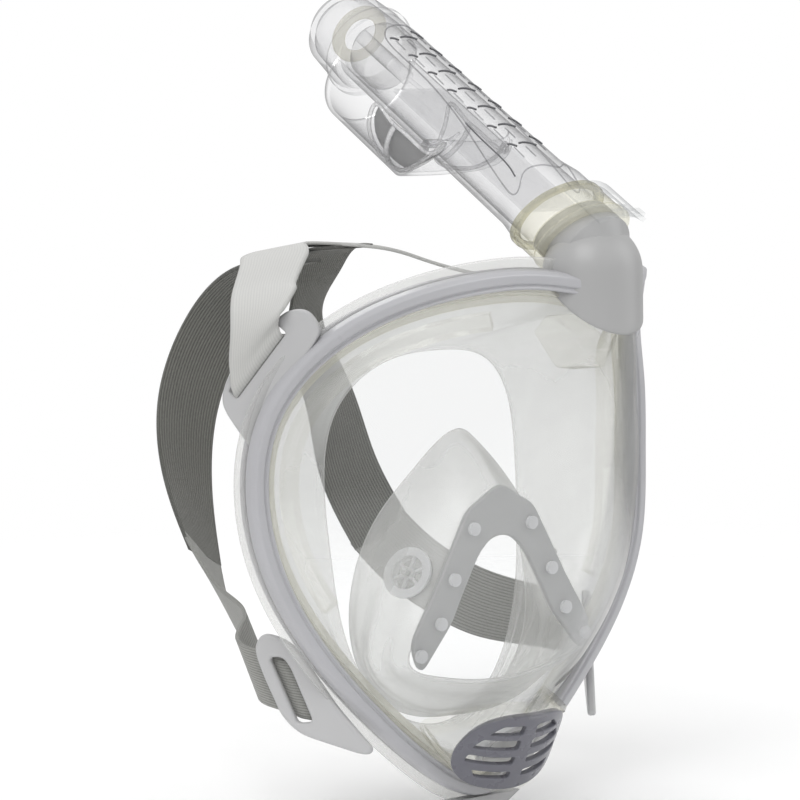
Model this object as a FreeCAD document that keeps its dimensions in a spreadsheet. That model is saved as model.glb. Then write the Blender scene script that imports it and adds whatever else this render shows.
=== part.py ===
import FreeCAD, Part
import math
import os
from FreeCAD import Matrix, Placement, Rotation, Vector

# Full-face snorkel mask, millimetres. +X is the wearer's left, -Y is where the wearer looks, +Z is up.
# The origin is on the middle plane, level with the widest points of the frame.

os.makedirs("parts", exist_ok=True)
doc = FreeCAD.newDocument("SnorkelMask")

# ---------------------------------------------------------------- driving dimensions

DIMENSIONS = {
    "rim_half_width": 96.0,      # centre line of the oval frame, middle plane to side
    "rim_top": 93.0,             # its height at the forehead
    "rim_chin": 114.0,           # its depth at the chin
    "rim_reach": 96.0,           # how far the forehead end stands in front of the sides
    "frame_half_band": 3.5,      # half the width of the frame's band
    "lens_wall": 2.2,
    "lens_reach": 97.0,          # how far the lens stands in front of the sides
    "flange_overhang": 7.2,      # silicone flange outside the rim's centre line
    "skirt_wall": 2.0,
    "opening_half_width": 50.0,  # face opening of the skirt
    "snorkel_tilt": 30.5,        # tube axis above horizontal, rising to the rear
    "socket_forward": 64.8,      # O-ring plane centre, forward of the origin
    "socket_height": 114.2,
    "seal_tilt": 50.0,           # how steep the normal of the seal's plane is
    "pod_radius": 18.4,
    "pod_forward": 85.0,
    "pod_bottom": 71.0,
    "pod_dome_height": 93.6,
    "pod_wall": 2.3,
    "neck_radius": 15.2,
    "plug_clearance": 0.06,      # radial gap between the pod's neck and the collar
    "collar_radius": 18.2,
    "collar_length": 16.5,       # measured square to the seal's plane
    "stop_depth": 8.4,           # how far below the seal the collar's inner shoulder is
    "tube_radius": 16.4,         # at the collar
    "tube_tip_radius": 15.8,     # at the cap
    "tube_wall": 2.0,
    "tube_length": 133.0,
    "chamber_length": 41.5,
    "cap_length": 28.0,
    "cap_radius": 18.6,
    "cap_drop": 3.0,             # how far the cap sits below the tube's axis
    "float_radius": 12.5,
    "float_length": 18.0,
    "float_travel": 7.0,
    "ring_section": 2.0,
    "vent_curve_radius": 38.0,
    "vent_half_width": 32.0,
    "vent_half_height": 18.0,
    "vent_wall": 2.4,
    "valve_radius": 8.0,
    "exhaust_radius": 11.0,
    "rivet_radius": 2.6,
    "clamp_thickness": 2.6,
    "divider_thickness": 1.4,
    "strap_width": 28.0,
    "strap_thickness": 1.6,
    "buckle_thickness": 3.4,
}

sheet = doc.addObject("Spreadsheet::Sheet", "Sheet")
for row, (alias, value) in enumerate(DIMENSIONS.items(), start=1):
    sheet.set("A%d" % row, alias)
    sheet.set("B%d" % row, str(value))
    sheet.setAlias("B%d" % row, alias)
doc.recompute()


def dim(alias):
    """The value of a driving dimension, read from the sheet."""
    return float(sheet.get(alias))


nodes = []


def register(obj, label, placement=None):
    """Names a finished sub-part; the label is also the name of its file."""
    obj.Label = label
    if placement is not None:
        obj.Placement = placement
    nodes.append(obj)
    return obj


def feature(label, shape, placement=None):
    """A sub-part whose shape comes from Part's own functions."""
    obj = doc.addObject("Part::Feature", label)
    obj.Shape = shape
    return register(obj, label, placement)


# ---------------------------------------------------------------- surfaces and rim geometry

GAP = 0.12                # air left between neighbouring solids
RIM_STATIONS = 52         # places round the whole rim where offset curves are sampled
LENS_COLUMNS = 21
LENS_ROWS = 17


def closed_solid(faces):
    """Sews faces that bound a volume and returns the solid, turned the right way out."""
    shell = Part.makeShell(faces)
    shell.sewShape()
    solid = Part.makeSolid(Part.Shell(shell.Faces))
    if solid.Volume < 0:
        solid.reverse()
    return solid


def grid_edge(points):
    """A smooth open edge through points."""
    curve = Part.BSplineCurve()
    curve.interpolate(points)
    return curve.toShape()


def grid_solid(outer, inner):
    """A thin solid between two grids of points that have the same rows and columns."""
    faces = []
    for grid in (outer, inner):
        surface = Part.BSplineSurface()
        surface.interpolate(grid)
        faces.append(surface.toShape())
    pairs = []
    for face in faces:
        surface = face.Surface
        u0, u1, v0, v1 = surface.bounds()
        pairs.append([
            surface.uIso(u0).toShape(), surface.uIso(u1).toShape(),
            surface.vIso(v0).toShape(), surface.vIso(v1).toShape(),
        ])
    for edge_out, edge_in in zip(*pairs):
        faces.append(Part.makeRuledSurface(edge_out, edge_in))
    return closed_solid(faces)


def rim_half_points():
    """The rim's centre line on the wearer's left, from the forehead to the chin."""
    wide = dim("rim_half_width")
    top = dim("rim_top")
    chin = dim("rim_chin")
    reach = dim("rim_reach")
    return [
        Vector(0, -reach, 0.94 * top),
        Vector(0.19 * wide, -0.89 * reach, 0.98 * top),
        Vector(0.36 * wide, -0.70 * reach, 0.98 * top),
        Vector(0.58 * wide, -0.44 * reach, 0.90 * top),
        Vector(0.80 * wide, -0.17 * reach, 0.71 * top),
        Vector(0.96 * wide, -2, 0.43 * top),
        Vector(wide, 2, 0.13 * top),
        Vector(0.95 * wide, -1, -0.18 * chin),
        Vector(0.77 * wide, -5, -0.46 * chin),
        Vector(0.52 * wide, -7, -0.70 * chin),
        Vector(0.27 * wide, -9, -0.89 * chin),
        Vector(0, -10, -chin),
    ]


def mirrored(point):
    """The same point on the other side of the middle plane."""
    return Vector(-point.x, point.y, point.z)


def rim_curve():
    """The closed centre line of the frame."""
    half = rim_half_points()
    other_half = [mirrored(p) for p in half[-2:0:-1]]
    curve = Part.BSplineCurve()
    curve.interpolate(Points=half + other_half, PeriodicFlag=True)
    return curve


RIM = rim_curve()
RIM_FIRST, RIM_LAST = RIM.FirstParameter, RIM.LastParameter
RIM_CHIN = RIM.parameter(Vector(0, -10, -dim("rim_chin")))


def rim_frame(u):
    """Position, outward and forward directions at a place on the rim."""
    place = RIM.value(u)
    along = RIM.tangent(u)[0]
    radial = Vector(place.x, 0, place.z)
    outward = radial - along * radial.dot(along)
    outward.normalize()
    forward = along.cross(outward)
    if forward.y > 0:
        forward = forward * -1
    return place, outward, forward


def rim_point(u, out_by, forward_by):
    """A point beside the rim's centre line."""
    place, outward, forward = rim_frame(u)
    return place + outward * out_by + forward * forward_by


def closed_edge(points):
    """A smooth closed edge through points."""
    curve = Part.BSplineCurve()
    curve.interpolate(Points=points, PeriodicFlag=True)
    return curve.toShape()


def rim_loop(out_by, forward_by):
    """A closed edge that follows the rim at an offset."""
    step = (RIM_LAST - RIM_FIRST) / RIM_STATIONS
    return closed_edge([rim_point(RIM_FIRST + i * step, out_by, forward_by) for i in range(RIM_STATIONS)])


def looped_solid(loops):
    """A closed ring whose section has one corner on each loop, in order."""
    count = len(loops)
    return closed_solid([Part.makeRuledSurface(loops[i], loops[(i + 1) % count]) for i in range(count)])


def rim_ring(corners):
    """A ring round the rim; corners holds its section as (outward, forward) offsets."""
    return looped_solid([rim_loop(out_by, forward_by) for out_by, forward_by in corners])


def side_parameter(fraction):
    """A place on the wearer's left half of the rim: 0 is the forehead and 1 is the chin."""
    return RIM_FIRST + fraction * (RIM_CHIN - RIM_FIRST)


# ---------------------------------------------------------------- frame and its seals

def build_bezel():
    """The front half of the frame."""
    half = dim("frame_half_band")
    return rim_ring([(-half, -1), (half, -1), (half, 4.2), (half - 1.6, 6), (-half + 1, 6), (-half, 5)])


def build_rear_frame():
    """The rear half of the frame, which clamps the skirt's flange."""
    half = dim("frame_half_band")
    return rim_ring([(-half, -6.2), (half - 1, -6.2), (half - 1, -3.2 - GAP), (-half, -3.2 - GAP)])


def opening_loop(grow, back):
    """The face opening of the skirt, grown outwards and moved to the rear."""
    wide = dim("opening_half_width") + grow
    half = [
        Vector(0, 9 + back, 61 + grow),
        Vector(0.52 * wide, 12 + back, 57 + grow),
        Vector(0.90 * wide, 19 + back, 38 + 0.6 * grow),
        Vector(wide, 21 + back, 14),
        Vector(0.98 * wide, 19 + back, -20),
        Vector(0.86 * wide, 17 + back, -56 - 0.5 * grow),
        Vector(0.50 * wide, 15 + back, -84 - grow),
        Vector(0, 14 + back, -94 - grow),
    ]
    return closed_edge(half + [mirrored(p) for p in half[-2:0:-1]])


def build_skirt():
    """The silicone skirt: a flange outside the frame and a wall in to the face opening."""
    wall = dim("skirt_wall")
    over = dim("flange_overhang")
    return looped_solid([
        rim_loop(over, -1 - 3 * GAP), rim_loop(-7.5, -1 - 3 * GAP),
        opening_loop(0, 0), opening_loop(wall, wall),
        rim_loop(-5.0, -3.2), rim_loop(over, -3.2),
    ])


# ---------------------------------------------------------------- lens

def lens_profile():
    """The lens on the middle plane, from the forehead to the chin."""
    reach = dim("lens_reach")
    curve = Part.BSplineCurve()
    curve.interpolate([
        Vector(0, -0.93 * reach, 84), Vector(0, -1.00 * reach, 70), Vector(0, -1.00 * reach, 50),
        Vector(0, -0.95 * reach, 18), Vector(0, -0.84 * reach, -16), Vector(0, -0.66 * reach, -50),
        Vector(0, -0.42 * reach, -80), Vector(0, -0.26 * reach, -97), Vector(0, -0.16 * reach, -106),
    ])
    return curve


PROFILE = lens_profile()


def bow(column):
    """Share of half-width and of reach across a bow-shaped section; column runs from -1 to 1."""
    angle = column * math.pi / 2
    round_x, round_y = math.sin(angle), math.cos(angle)
    straight = 1 - abs(column)
    bow_x = math.copysign(1 - straight ** 1.15, column) if column else 0.0
    bow_y = 1 - (1 - straight) ** 1.25
    return 0.15 * round_x + 0.85 * bow_x, 0.15 * round_y + 0.85 * bow_y


def lens_point(fraction, column, inset):
    """A point of the lens; inset 0 is its outer face, and a larger one goes into the mask."""
    edge = rim_point(side_parameter(fraction), -dim("frame_half_band") - 0.3 - inset, 0.2)
    span = PROFILE.LastParameter - PROFILE.FirstParameter
    front = PROFILE.value(PROFILE.FirstParameter + fraction * span)
    middle = Vector(0, edge.y, edge.z)
    reach = front - middle
    reach = reach * (1 - inset / reach.Length)
    share_x, share_y = bow(column)
    return middle + Vector(edge.x * share_x, 0, 0) + reach * share_y


def lens_grid(inset, first=0.07, last=0.97, width=1.0):
    """Rows of points on the lens, from the forehead to the chin."""
    rows = []
    for i in range(LENS_ROWS):
        fraction = first + (last - first) * i / (LENS_ROWS - 1)
        rows.append([
            lens_point(fraction, width * (2 * j / (LENS_COLUMNS - 1) - 1), inset)
            for j in range(LENS_COLUMNS)
        ])
    return rows


def lens_blank():
    """The lens before the opening for the vent is cut."""
    return grid_solid(lens_grid(0), lens_grid(dim("lens_wall")))


# ---------------------------------------------------------------- frames of the snorkel and the chin vent

def axis_placement(origin, z_axis, x_axis=Vector(1, 0, 0)):
    """A placement whose local Z runs along z_axis and whose local X is x_axis."""
    z_axis = Vector(z_axis).normalize()
    x_axis = Vector(x_axis).normalize()
    y_axis = z_axis.cross(x_axis)
    matrix = Matrix(
        x_axis.x, y_axis.x, z_axis.x, origin.x,
        x_axis.y, y_axis.y, z_axis.y, origin.y,
        x_axis.z, y_axis.z, z_axis.z, origin.z,
        0, 0, 0, 1,
    )
    return Placement(matrix)


TILT = math.radians(dim("snorkel_tilt"))
SNORKEL_AXIS = Vector(0, math.cos(TILT), math.sin(TILT))
SNORKEL_ORIGIN = Vector(0, -dim("socket_forward"), dim("socket_height"))
# Local Z runs up the tube, local X is the wearer's right and local Y is the tube's upper side.
SNORKEL_FRAME = axis_placement(SNORKEL_ORIGIN, SNORKEL_AXIS, Vector(-1, 0, 0))

SEAL_TILT = math.radians(dim("seal_tilt"))
# The seal and both ends of the collar lie in planes steeper than the tube; local Z is their normal.
SEAL_FRAME = axis_placement(SNORKEL_ORIGIN, Vector(0, math.cos(SEAL_TILT), math.sin(SEAL_TILT)),
                            Vector(-1, 0, 0))

VENT_FACING = Vector(0, -0.88, -0.47).normalize()
VENT_CENTRE = Vector(0, -39.5, -95)
# Local Z points out of the vent, local X is the wearer's left.
VENT_FRAME = axis_placement(VENT_CENTRE, VENT_FACING)


def placed(shape, placement):
    """A copy of a shape at another placement."""
    shape = shape.copy()
    shape.Placement = placement
    return shape


# ---------------------------------------------------------------- sketch helpers

def origin_plane(body, role):
    """One of a body's own base planes."""
    return [item for item in body.Origin.OriginFeatures if item.Role == role][0]


def new_body(name):
    """An empty PartDesign body."""
    return doc.addObject("PartDesign::Body", name)


def sketch_on(body, role, name):
    """A sketch on one of the body's base planes."""
    sketch = body.newObject("Sketcher::SketchObject", name)
    sketch.AttachmentSupport = [(origin_plane(body, role), "")]
    sketch.MapMode = "FlatFace"
    return sketch


def add_outline(sketch, corners):
    """A closed outline of straight lines through (x, y) corners."""
    first = sketch.GeometryCount
    for i, corner in enumerate(corners):
        end = corners[(i + 1) % len(corners)]
        line = Part.LineSegment(Vector(corner[0], corner[1], 0), Vector(end[0], end[1], 0))
        sketch.addGeometry(line, False)
    return first


def turned_body(label, profile, placement):
    """A turned solid: profile holds (radius, height) corners, turned about the local Z axis."""
    body = new_body(label)
    sketch = sketch_on(body, "XZ_Plane", label + "_section")
    add_outline(sketch, profile)
    turn = body.newObject("PartDesign::Revolution", label + "_turn")
    turn.Profile = sketch
    turn.ReferenceAxis = (sketch, ["V_Axis"])
    turn.Angle = 360
    body.Tip = turn
    body.Placement = placement
    return body


def revolved(label, profile, placement):
    """A turned solid that is a finished sub-part."""
    return register(turned_body(label, profile, placement), label)


def between_planes(label, blank, low, high):
    """The part of a blank between two planes parallel to the seal's plane."""
    slab = doc.addObject("Part::Box", label + "_slab")
    slab.Length = slab.Width = 120
    slab.Height = high - low
    slab.Placement = SEAL_FRAME.multiply(Placement(Vector(-60, -60, low), Rotation()))
    kept = doc.addObject("Part::Common", label)
    kept.Base = blank
    kept.Tool = slab
    return kept


def padded(label, corners, thickness, placement, holes=()):
    """A plate: corners holds its outline, holes the outlines cut through it."""
    body = new_body(label)
    sketch = sketch_on(body, "XY_Plane", label + "_outline")
    add_outline(sketch, corners)
    pad = body.newObject("PartDesign::Pad", label + "_pad")
    pad.Profile = sketch
    pad.setExpression("Length", thickness)
    body.Tip = pad
    for index, hole in enumerate(holes):
        doc.recompute()
        cut_sketch = sketch_on(body, "XY_Plane", "%s_hole_%d" % (label, index))
        add_outline(cut_sketch, hole)
        pocket = body.newObject("PartDesign::Pocket", "%s_pocket_%d" % (label, index))
        pocket.Profile = cut_sketch
        pocket.Type = "ThroughAll"
        pocket.Reversed = True
        body.Tip = pocket
    return register(body, label, placement)


# ---------------------------------------------------------------- snorkel

GUIDE_RADIUS = 3.0        # the pin that the float slides on


def tube_outer(along):
    """Outer radius of the tube at a distance from the collar."""
    start, end = dim("tube_radius"), dim("tube_tip_radius")
    return start + (end - start) * along / dim("tube_length")


def tube_bore():
    """Inner radius of the tube at the collar."""
    return tube_outer(0) - dim("tube_wall")


def build_tube():
    """The snorkel's tube, cut off just above the seal."""
    length = dim("tube_length")
    collar = dim("collar_radius") - 0.4
    blank = turned_body("tube_blank", [
        (tube_bore(), -12), (collar, -12), (collar, 6), (tube_outer(16), 16),
        (tube_outer(length), length), (tube_outer(length) - dim("tube_wall"), length),
    ], SNORKEL_FRAME)
    tube = between_planes("snorkel_tube", blank, dim("ring_section") / 2 + GAP, length + 60)
    register(tube, "snorkel_tube")


def collar_blank(label, inner, outer):
    """A plain ring, longer than the collar, that is cut to length later."""
    above, below = 12, -40
    return turned_body(label, [(inner, below), (outer, below), (outer, above), (inner, above)], SNORKEL_FRAME)


def build_collar():
    """The collar over the pod's neck: a sleeve, an inner shoulder that stops the neck, and a lip."""
    collar = dim("collar_radius")
    depth = dim("collar_length")
    bore = dim("neck_radius") + dim("plug_clearance")
    top = -dim("ring_section") / 2 - GAP
    lip_height = 2
    joined = doc.addObject("Part::MultiFuse", "snorkel_collar")
    joined.Shapes = [
        between_planes("sleeve", collar_blank("sleeve_blank", bore, collar), -depth, top),
        between_planes("shoulder", collar_blank("shoulder_blank", tube_bore(), collar - 0.2),
                       -dim("stop_depth"), top),
        between_planes("lip", collar_blank("lip_blank", bore, collar + 0.7), -depth, -depth + lip_height),
    ]
    register(joined, "snorkel_collar")


def build_collar_seal():
    """The dark ring between the collar and the tube."""
    half = dim("ring_section") / 2
    blank = collar_blank("seal_blank", tube_bore() + 1.2, dim("collar_radius") + 0.5)
    register(between_planes("collar_seal", blank, -half, half), "collar_seal")


def build_cap():
    """The rounded cap on the tip of the tube."""
    base = dim("tube_length")
    top = dim("cap_radius")
    cap = dim("cap_length")
    lowered = SNORKEL_FRAME.multiply(Placement(Vector(0, -dim("cap_drop"), 0), Rotation()))
    revolved("snorkel_cap", [
        (top - 2, base + GAP), (top + 1.2, base + GAP), (top + 1.2, base + 3), (top, base + 4),
        (top - 1.4, base + 0.75 * cap), (top - 5.5, base + 0.95 * cap), (top - 10, base + cap),
        (0, base + cap), (0, base + cap - 2), (top - 11, base + cap - 2),
        (top - 7, base + 0.88 * cap), (top - 3.4, base + 0.70 * cap),
    ], lowered)


def float_seat_height():
    """Where the float closes the tube, from the foot of the tube."""
    return dim("tube_length") + 10


def build_float():
    """The float and the ring that it closes against."""
    seat = float_seat_height()
    rim = tube_outer(dim("tube_length")) - 3.3
    revolved("float_seat", [
        (7.5, seat), (rim, seat), (rim, seat + 2), (9, seat + 2), (7.5, seat + 1),
    ], SNORKEL_FRAME)

    length = dim("float_length")
    rest = seat - dim("float_travel") - length - 0.4
    radius = dim("float_radius")
    bore = GUIDE_RADIUS + 0.1
    revolved("dry_top_float", [
        (bore, rest), (radius - 2, rest), (radius, rest + 2), (radius, rest + length - 5),
        (9, rest + length - 0.5), (bore, rest + length),
    ], SNORKEL_FRAME)


def build_float_guide():
    """The three-armed spider whose pin the float slides on."""
    foot = dim("tube_length") - dim("float_length") - 8
    shape = Part.makeCylinder(GUIDE_RADIUS, float_seat_height() - 1 - foot, Vector(0, 0, foot))
    arm_length = tube_outer(foot) - dim("tube_wall") - 0.2
    for turn in (90, 210, 330):
        arm = Part.makeBox(arm_length, 1.6, 3, Vector(0, -0.8, foot))
        arm.rotate(Vector(0, 0, 0), Vector(0, 0, 1), turn)
        shape = shape.fuse(arm)
    return feature("float_guide", shape.removeSplitter(), SNORKEL_FRAME)


def build_tube_divider():
    """The wall that keeps the air breathed in apart from the air breathed out."""
    length = dim("tube_length")
    half = tube_outer(length) - dim("tube_wall") - 0.4
    upright = Placement(Vector(0, dim("divider_thickness") / 2, 0), Rotation(Vector(1, 0, 0), 90))
    padded("tube_divider", [(-half, 4), (half, 4), (half, length - 36), (-half, length - 36)],
           "Sheet.divider_thickness", SNORKEL_FRAME.multiply(upright))


def build_float_chamber():
    """The saddle under the tip of the tube, with its two D-shaped water openings."""
    end = dim("tube_length") - 2.5
    length = dim("chamber_length")
    start = end - length
    wide = max(tube_outer(start), tube_outer(end))
    outer = Part.makeCylinder(24.5, length, Vector(0, -3.5, start))
    inner = Part.makeCone(tube_outer(start) + GAP, tube_outer(end) + GAP, length, Vector(0, 0, start))
    body = outer.cut(inner)
    keep = Part.makeBox(60, 40, length + 2, Vector(-30, -42, start - 1))
    body = body.common(keep)
    hollow = Part.makeCylinder(22.7, length - 5, Vector(0, -3.5, start + 2.5))
    hollow = hollow.cut(Part.makeCylinder(wide + 1.5, length, Vector(0, 0, start)))
    body = body.cut(hollow)
    for side in (-1, 1):
        for along in (start + 6, start + 24):
            round_end = Part.makeCylinder(5.0, 40, Vector(0, 0, 0), Vector(0, 0, 1))
            flat = Part.makeBox(10, 5, 40, Vector(-5, 0, 0))
            window = round_end.fuse(flat)
            window.Placement = axis_placement(Vector(side * 6, -8, along + 5), Vector(side * 0.62, -1, 0),
                                              Vector(0, 0, 1))
            body = body.cut(window)
    shape = body.removeSplitter()
    return feature("float_chamber", shape, SNORKEL_FRAME)


def build_latch():
    """The spring clip over the collar that holds the snorkel in its socket."""
    inner_radius = dim("collar_radius") + 1.3
    low, length = -33, 23
    outer = Part.makeCylinder(inner_radius + 1.8, length, Vector(0, 0, low))
    inner = Part.makeCylinder(inner_radius, length, Vector(0, 0, low))
    plate = outer.cut(inner)
    wedge = Part.makePolygon([
        Vector(0, 0, low), Vector(-22, 34, low), Vector(22, 34, low), Vector(0, 0, low),
    ])
    plate = plate.common(Part.Face(wedge).extrude(Vector(0, 0, length)))
    thumb = Part.makeBox(14, 1.6, 4, Vector(-7, inner_radius + 1.2, low - 3))
    plate = plate.fuse(thumb)
    window = Part.makeBox(10, 10, 7, Vector(-5, inner_radius - 3, low + 6))
    plate = plate.cut(window)
    return feature("snorkel_latch", plate.removeSplitter(), SNORKEL_FRAME)


# ---------------------------------------------------------------- pod and air ducts

def pod_solid(radius, drop, dome):
    """A domed post: a half ball on a vertical cylinder."""
    height = dim("pod_dome_height") - drop
    post = Part.makeCylinder(radius, height, Vector(0, -dim("pod_forward"), drop))
    ball = Part.makeSphere(dome, Vector(0, -dim("pod_forward"), dim("pod_dome_height")))
    return post.fuse(ball)


def largest(shape):
    """The biggest of a shape's solids."""
    return sorted(shape.Solids, key=lambda piece: piece.Volume)[-1]


def build_pod(neighbours):
    """The grey cover over the frame's top, with the neck that the snorkel's collar fits over."""
    radius = dim("pod_radius")
    wall = dim("pod_wall")
    bottom = dim("pod_bottom")
    outer = pod_solid(radius, bottom, radius)
    above = Part.makeBox(120, 120, 60, Vector(-60, -60, -dim("collar_length") - 0.5))
    outer = outer.cut(placed(above, SEAL_FRAME))
    neck = Part.makeCylinder(dim("neck_radius"), 40, Vector(0, 0, -26))
    fairing = Part.makeCone(5, dim("neck_radius"), 14, Vector(0, 0, -40))
    above_neck = Part.makeBox(120, 120, 60, Vector(-60, -60, -dim("stop_depth") - 0.5))
    neck = placed(neck.fuse(fairing), SNORKEL_FRAME).cut(placed(above_neck, SEAL_FRAME))
    outer = outer.fuse(neck)
    inner = pod_solid(radius - wall, bottom - 1, radius - wall)
    bore = placed(Part.makeCylinder(dim("neck_radius") - wall, 42, Vector(0, 0, -27)), SNORKEL_FRAME)
    shape = outer.cut(inner.fuse(bore))
    # The lower edge climbs to the rear, where the pod meets the frame.
    front = -dim("pod_forward") - radius
    below = Part.makeBox(80, 90, 60, Vector(-40, -10, -60))
    below.Placement = Placement(Vector(0, front, bottom), Rotation(Vector(1, 0, 0), 38.7))
    shape = shape.cut(below)
    for neighbour in neighbours:
        shape = shape.cut(neighbour)
    return largest(shape)


def build_duct_box(neighbours):
    """The six-sided elbow that leads air from the pod into the side ducts."""
    outline = [(-66, 77), (-58, 70), (-65, 63), (-71, 57), (-83, 57), (-88, 64), (-80, 71)]
    half = 12.0
    wire = Part.makePolygon([Vector(-half, y, z) for y, z in outline + outline[:1]])
    block = Part.Face(wire).extrude(Vector(2 * half, 0, 0))
    hollow = Part.makeBox(2 * half - 3, 12, 10, Vector(-half + 1.5, -80, 60))
    shape = block.cut(hollow)
    for neighbour in neighbours:
        shape = shape.cut(neighbour)
    return largest(shape)


def build_side_duct(side):
    """The air channel that runs inside the frame from the duct box to the nose cup."""
    corners = ((-19, -2), (-12.5, -1), (-12.5, 3), (-19, 3))
    stations = 22
    first, last = 0.14, 0.69
    rails = []
    for out_by, forward_by in corners:
        points = []
        for i in range(stations):
            fraction = first + (last - first) * i / (stations - 1)
            point = rim_point(side_parameter(fraction), out_by, forward_by)
            points.append(point if side > 0 else mirrored(point))
        rails.append(grid_edge(points))
    faces = [Part.makeRuledSurface(rails[i], rails[(i + 1) % 4]) for i in range(4)]
    for which in (0, -1):
        ends = [rail.Vertexes[which].Point for rail in rails]
        inner_side = Part.makeLine(ends[0], ends[1])
        outer_side = Part.makeLine(ends[3], ends[2])
        faces.append(Part.makeRuledSurface(inner_side, outer_side))
    return closed_solid(faces)


# ---------------------------------------------------------------- nose cup and its clamp

def symmetric_loop(half):
    """A closed edge through half of its points, the first and the last of them on the middle plane."""
    return closed_edge(half + [mirrored(p) for p in half[-2:0:-1]])


def cup_front_loop(shrink):
    """The outline of the nose cup's front, in one plane behind the lens."""
    front = -25.6
    return symmetric_loop([
        Vector(0, front, 8 - shrink), Vector(15 - shrink, front, -1), Vector(24 - shrink, front, -16),
        Vector(32.5 - shrink, front, -31), Vector(41 - shrink, front, -45), Vector(46 - shrink, front, -57),
        Vector(30, front, -66 + shrink), Vector(0, front, -70 + shrink),
    ])


def cup_face_loop(shrink):
    """The outline of the nose cup where it meets the face."""
    return symmetric_loop([
        Vector(0, -2, 29 - shrink), Vector(19 - shrink, 3, 14), Vector(35 - shrink, 8, -6),
        Vector(45 - shrink, 11, -34), Vector(43 - shrink, 11, -62), Vector(25, 11, -83 + shrink),
        Vector(0, 11, -88 + shrink),
    ])


def build_nose_cup(neighbours):
    """The silicone cup over nose and mouth, with a hole for each breathing-in valve."""
    wall = dim("skirt_wall")
    shape = looped_solid([cup_front_loop(0), cup_face_loop(0), cup_face_loop(wall), cup_front_loop(wall)])
    for side in (-1, 1):
        hole = Part.makeCylinder(dim("valve_radius") + 1.2, 16, Vector(0, 0, -8))
        hole.Placement = valve_frame(side)
        shape = shape.cut(hole)
    for neighbour in neighbours:
        shape = shape.cut(neighbour)
    return largest(shape)


def clamp_outline():
    """The A-shaped clamp that holds the nose cup's window, seen from the front."""
    right = [(9, 4), (16.5, 0), (25, -15.5), (33.5, -31), (41, -43), (45, -50), (42.4, -59.1), (39.4, -60.6),
             (34, -54), (25.5, -44), (21, -35), (15.5, -25), (11.5, -18), (6, -12.5)]
    left = [(-x, z) for x, z in reversed(right)]
    return [(0, 9.5)] + right + [(0, -11)] + left


def build_cup_clamp():
    """The flat clamp on the front of the nose cup."""
    placement = Placement(Vector(0, -26.4, 0), Rotation(Vector(1, 0, 0), 90))
    return padded("cup_clamp", clamp_outline(), "Sheet.clamp_thickness", placement)


RIVETS = [(14.5, -7.5), (24.5, -26.5), (31.5, -43), (41.5, -54.5)]


def build_rivets():
    """The clamp's rivet heads."""
    radius = dim("rivet_radius")
    heads = []
    for x, z in RIVETS:
        for side in (-1, 1):
            head = Part.makeCylinder(radius, 1.6, Vector(side * x, -29.0 - GAP, z), Vector(0, -1, 0))
            heads.append(head)
    return Part.makeCompound(heads)


# ---------------------------------------------------------------- valves

def valve_frame(side):
    """A breathing-in valve on the cup's wall; local Z points out of the cup."""
    return axis_placement(Vector(side * 35, -14, -24.5), Vector(side * 0.836, -0.312, 0.447),
                          Vector(side * 0.47, 0, -0.88))


EXHAUST_FACING = Vector(0, -0.74, -0.67)
EXHAUST_FRAME = axis_placement(Vector(0, -28.5, -94.5), EXHAUST_FACING)


def spoked_seat(radius, low, high, flange_low, flange_high, spoke_low, spoke_high):
    """A valve seat: a short barrel with a flange, three spokes and a hub for the disc's stem."""
    seat = Part.makeCylinder(radius + 0.8, high - low, Vector(0, 0, low))
    seat = seat.fuse(Part.makeCylinder(radius + 2.4, flange_high - flange_low, Vector(0, 0, flange_low)))
    seat = seat.cut(Part.makeCylinder(radius - 1.0, high - low + 20, Vector(0, 0, low - 10)))
    thick = spoke_high - spoke_low
    seat = seat.fuse(Part.makeCylinder(2.4, thick, Vector(0, 0, spoke_low)))
    for turn in range(0, 360, 60):
        spoke = Part.makeBox(radius - 0.6, 1.0, thick, Vector(0, -0.5, spoke_low))
        spoke.rotate(Vector(0, 0, 0), Vector(0, 0, 1), turn)
        seat = seat.fuse(spoke)
    seat = seat.cut(Part.makeCylinder(1.2, 40, Vector(0, 0, -20)))
    return seat.removeSplitter()


def valve_disc(radius, face, thickness, stem_end, side):
    """A thin silicone disc on a stem that ends in a bulb; side is the way the disc lifts."""
    disc = Part.makeCylinder(radius, thickness, Vector(0, 0, face if side > 0 else face - thickness))
    stem_low, stem_high = min(face, stem_end), max(face, stem_end)
    disc = disc.fuse(Part.makeCylinder(1.1, stem_high - stem_low, Vector(0, 0, stem_low)))
    disc = disc.fuse(Part.makeSphere(1.7, Vector(0, 0, stem_end - side * 0.6)))
    return disc.removeSplitter()


# ---------------------------------------------------------------- chin vent

def oval_prism(half_x, half_y, low, high):
    """A pointed-oval column along local Z."""
    half_x, half_y = float(half_x), float(half_y)
    top = Part.Arc(Vector(-half_x, 0, low), Vector(0, half_y, low), Vector(half_x, 0, low)).toShape()
    bottom = Part.Arc(Vector(half_x, 0, low), Vector(0, -half_y, low), Vector(-half_x, 0, low)).toShape()
    return Part.Face(Part.Wire([top, bottom])).extrude(Vector(0, 0, high - low))


def vent_drum(radius):
    """A cylinder that curves round the chin; its front line passes radius - vent_curve_radius ahead."""
    return Part.makeCylinder(radius, 100, Vector(0, -50, -dim("vent_curve_radius")), Vector(0, 1, 0))


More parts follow.
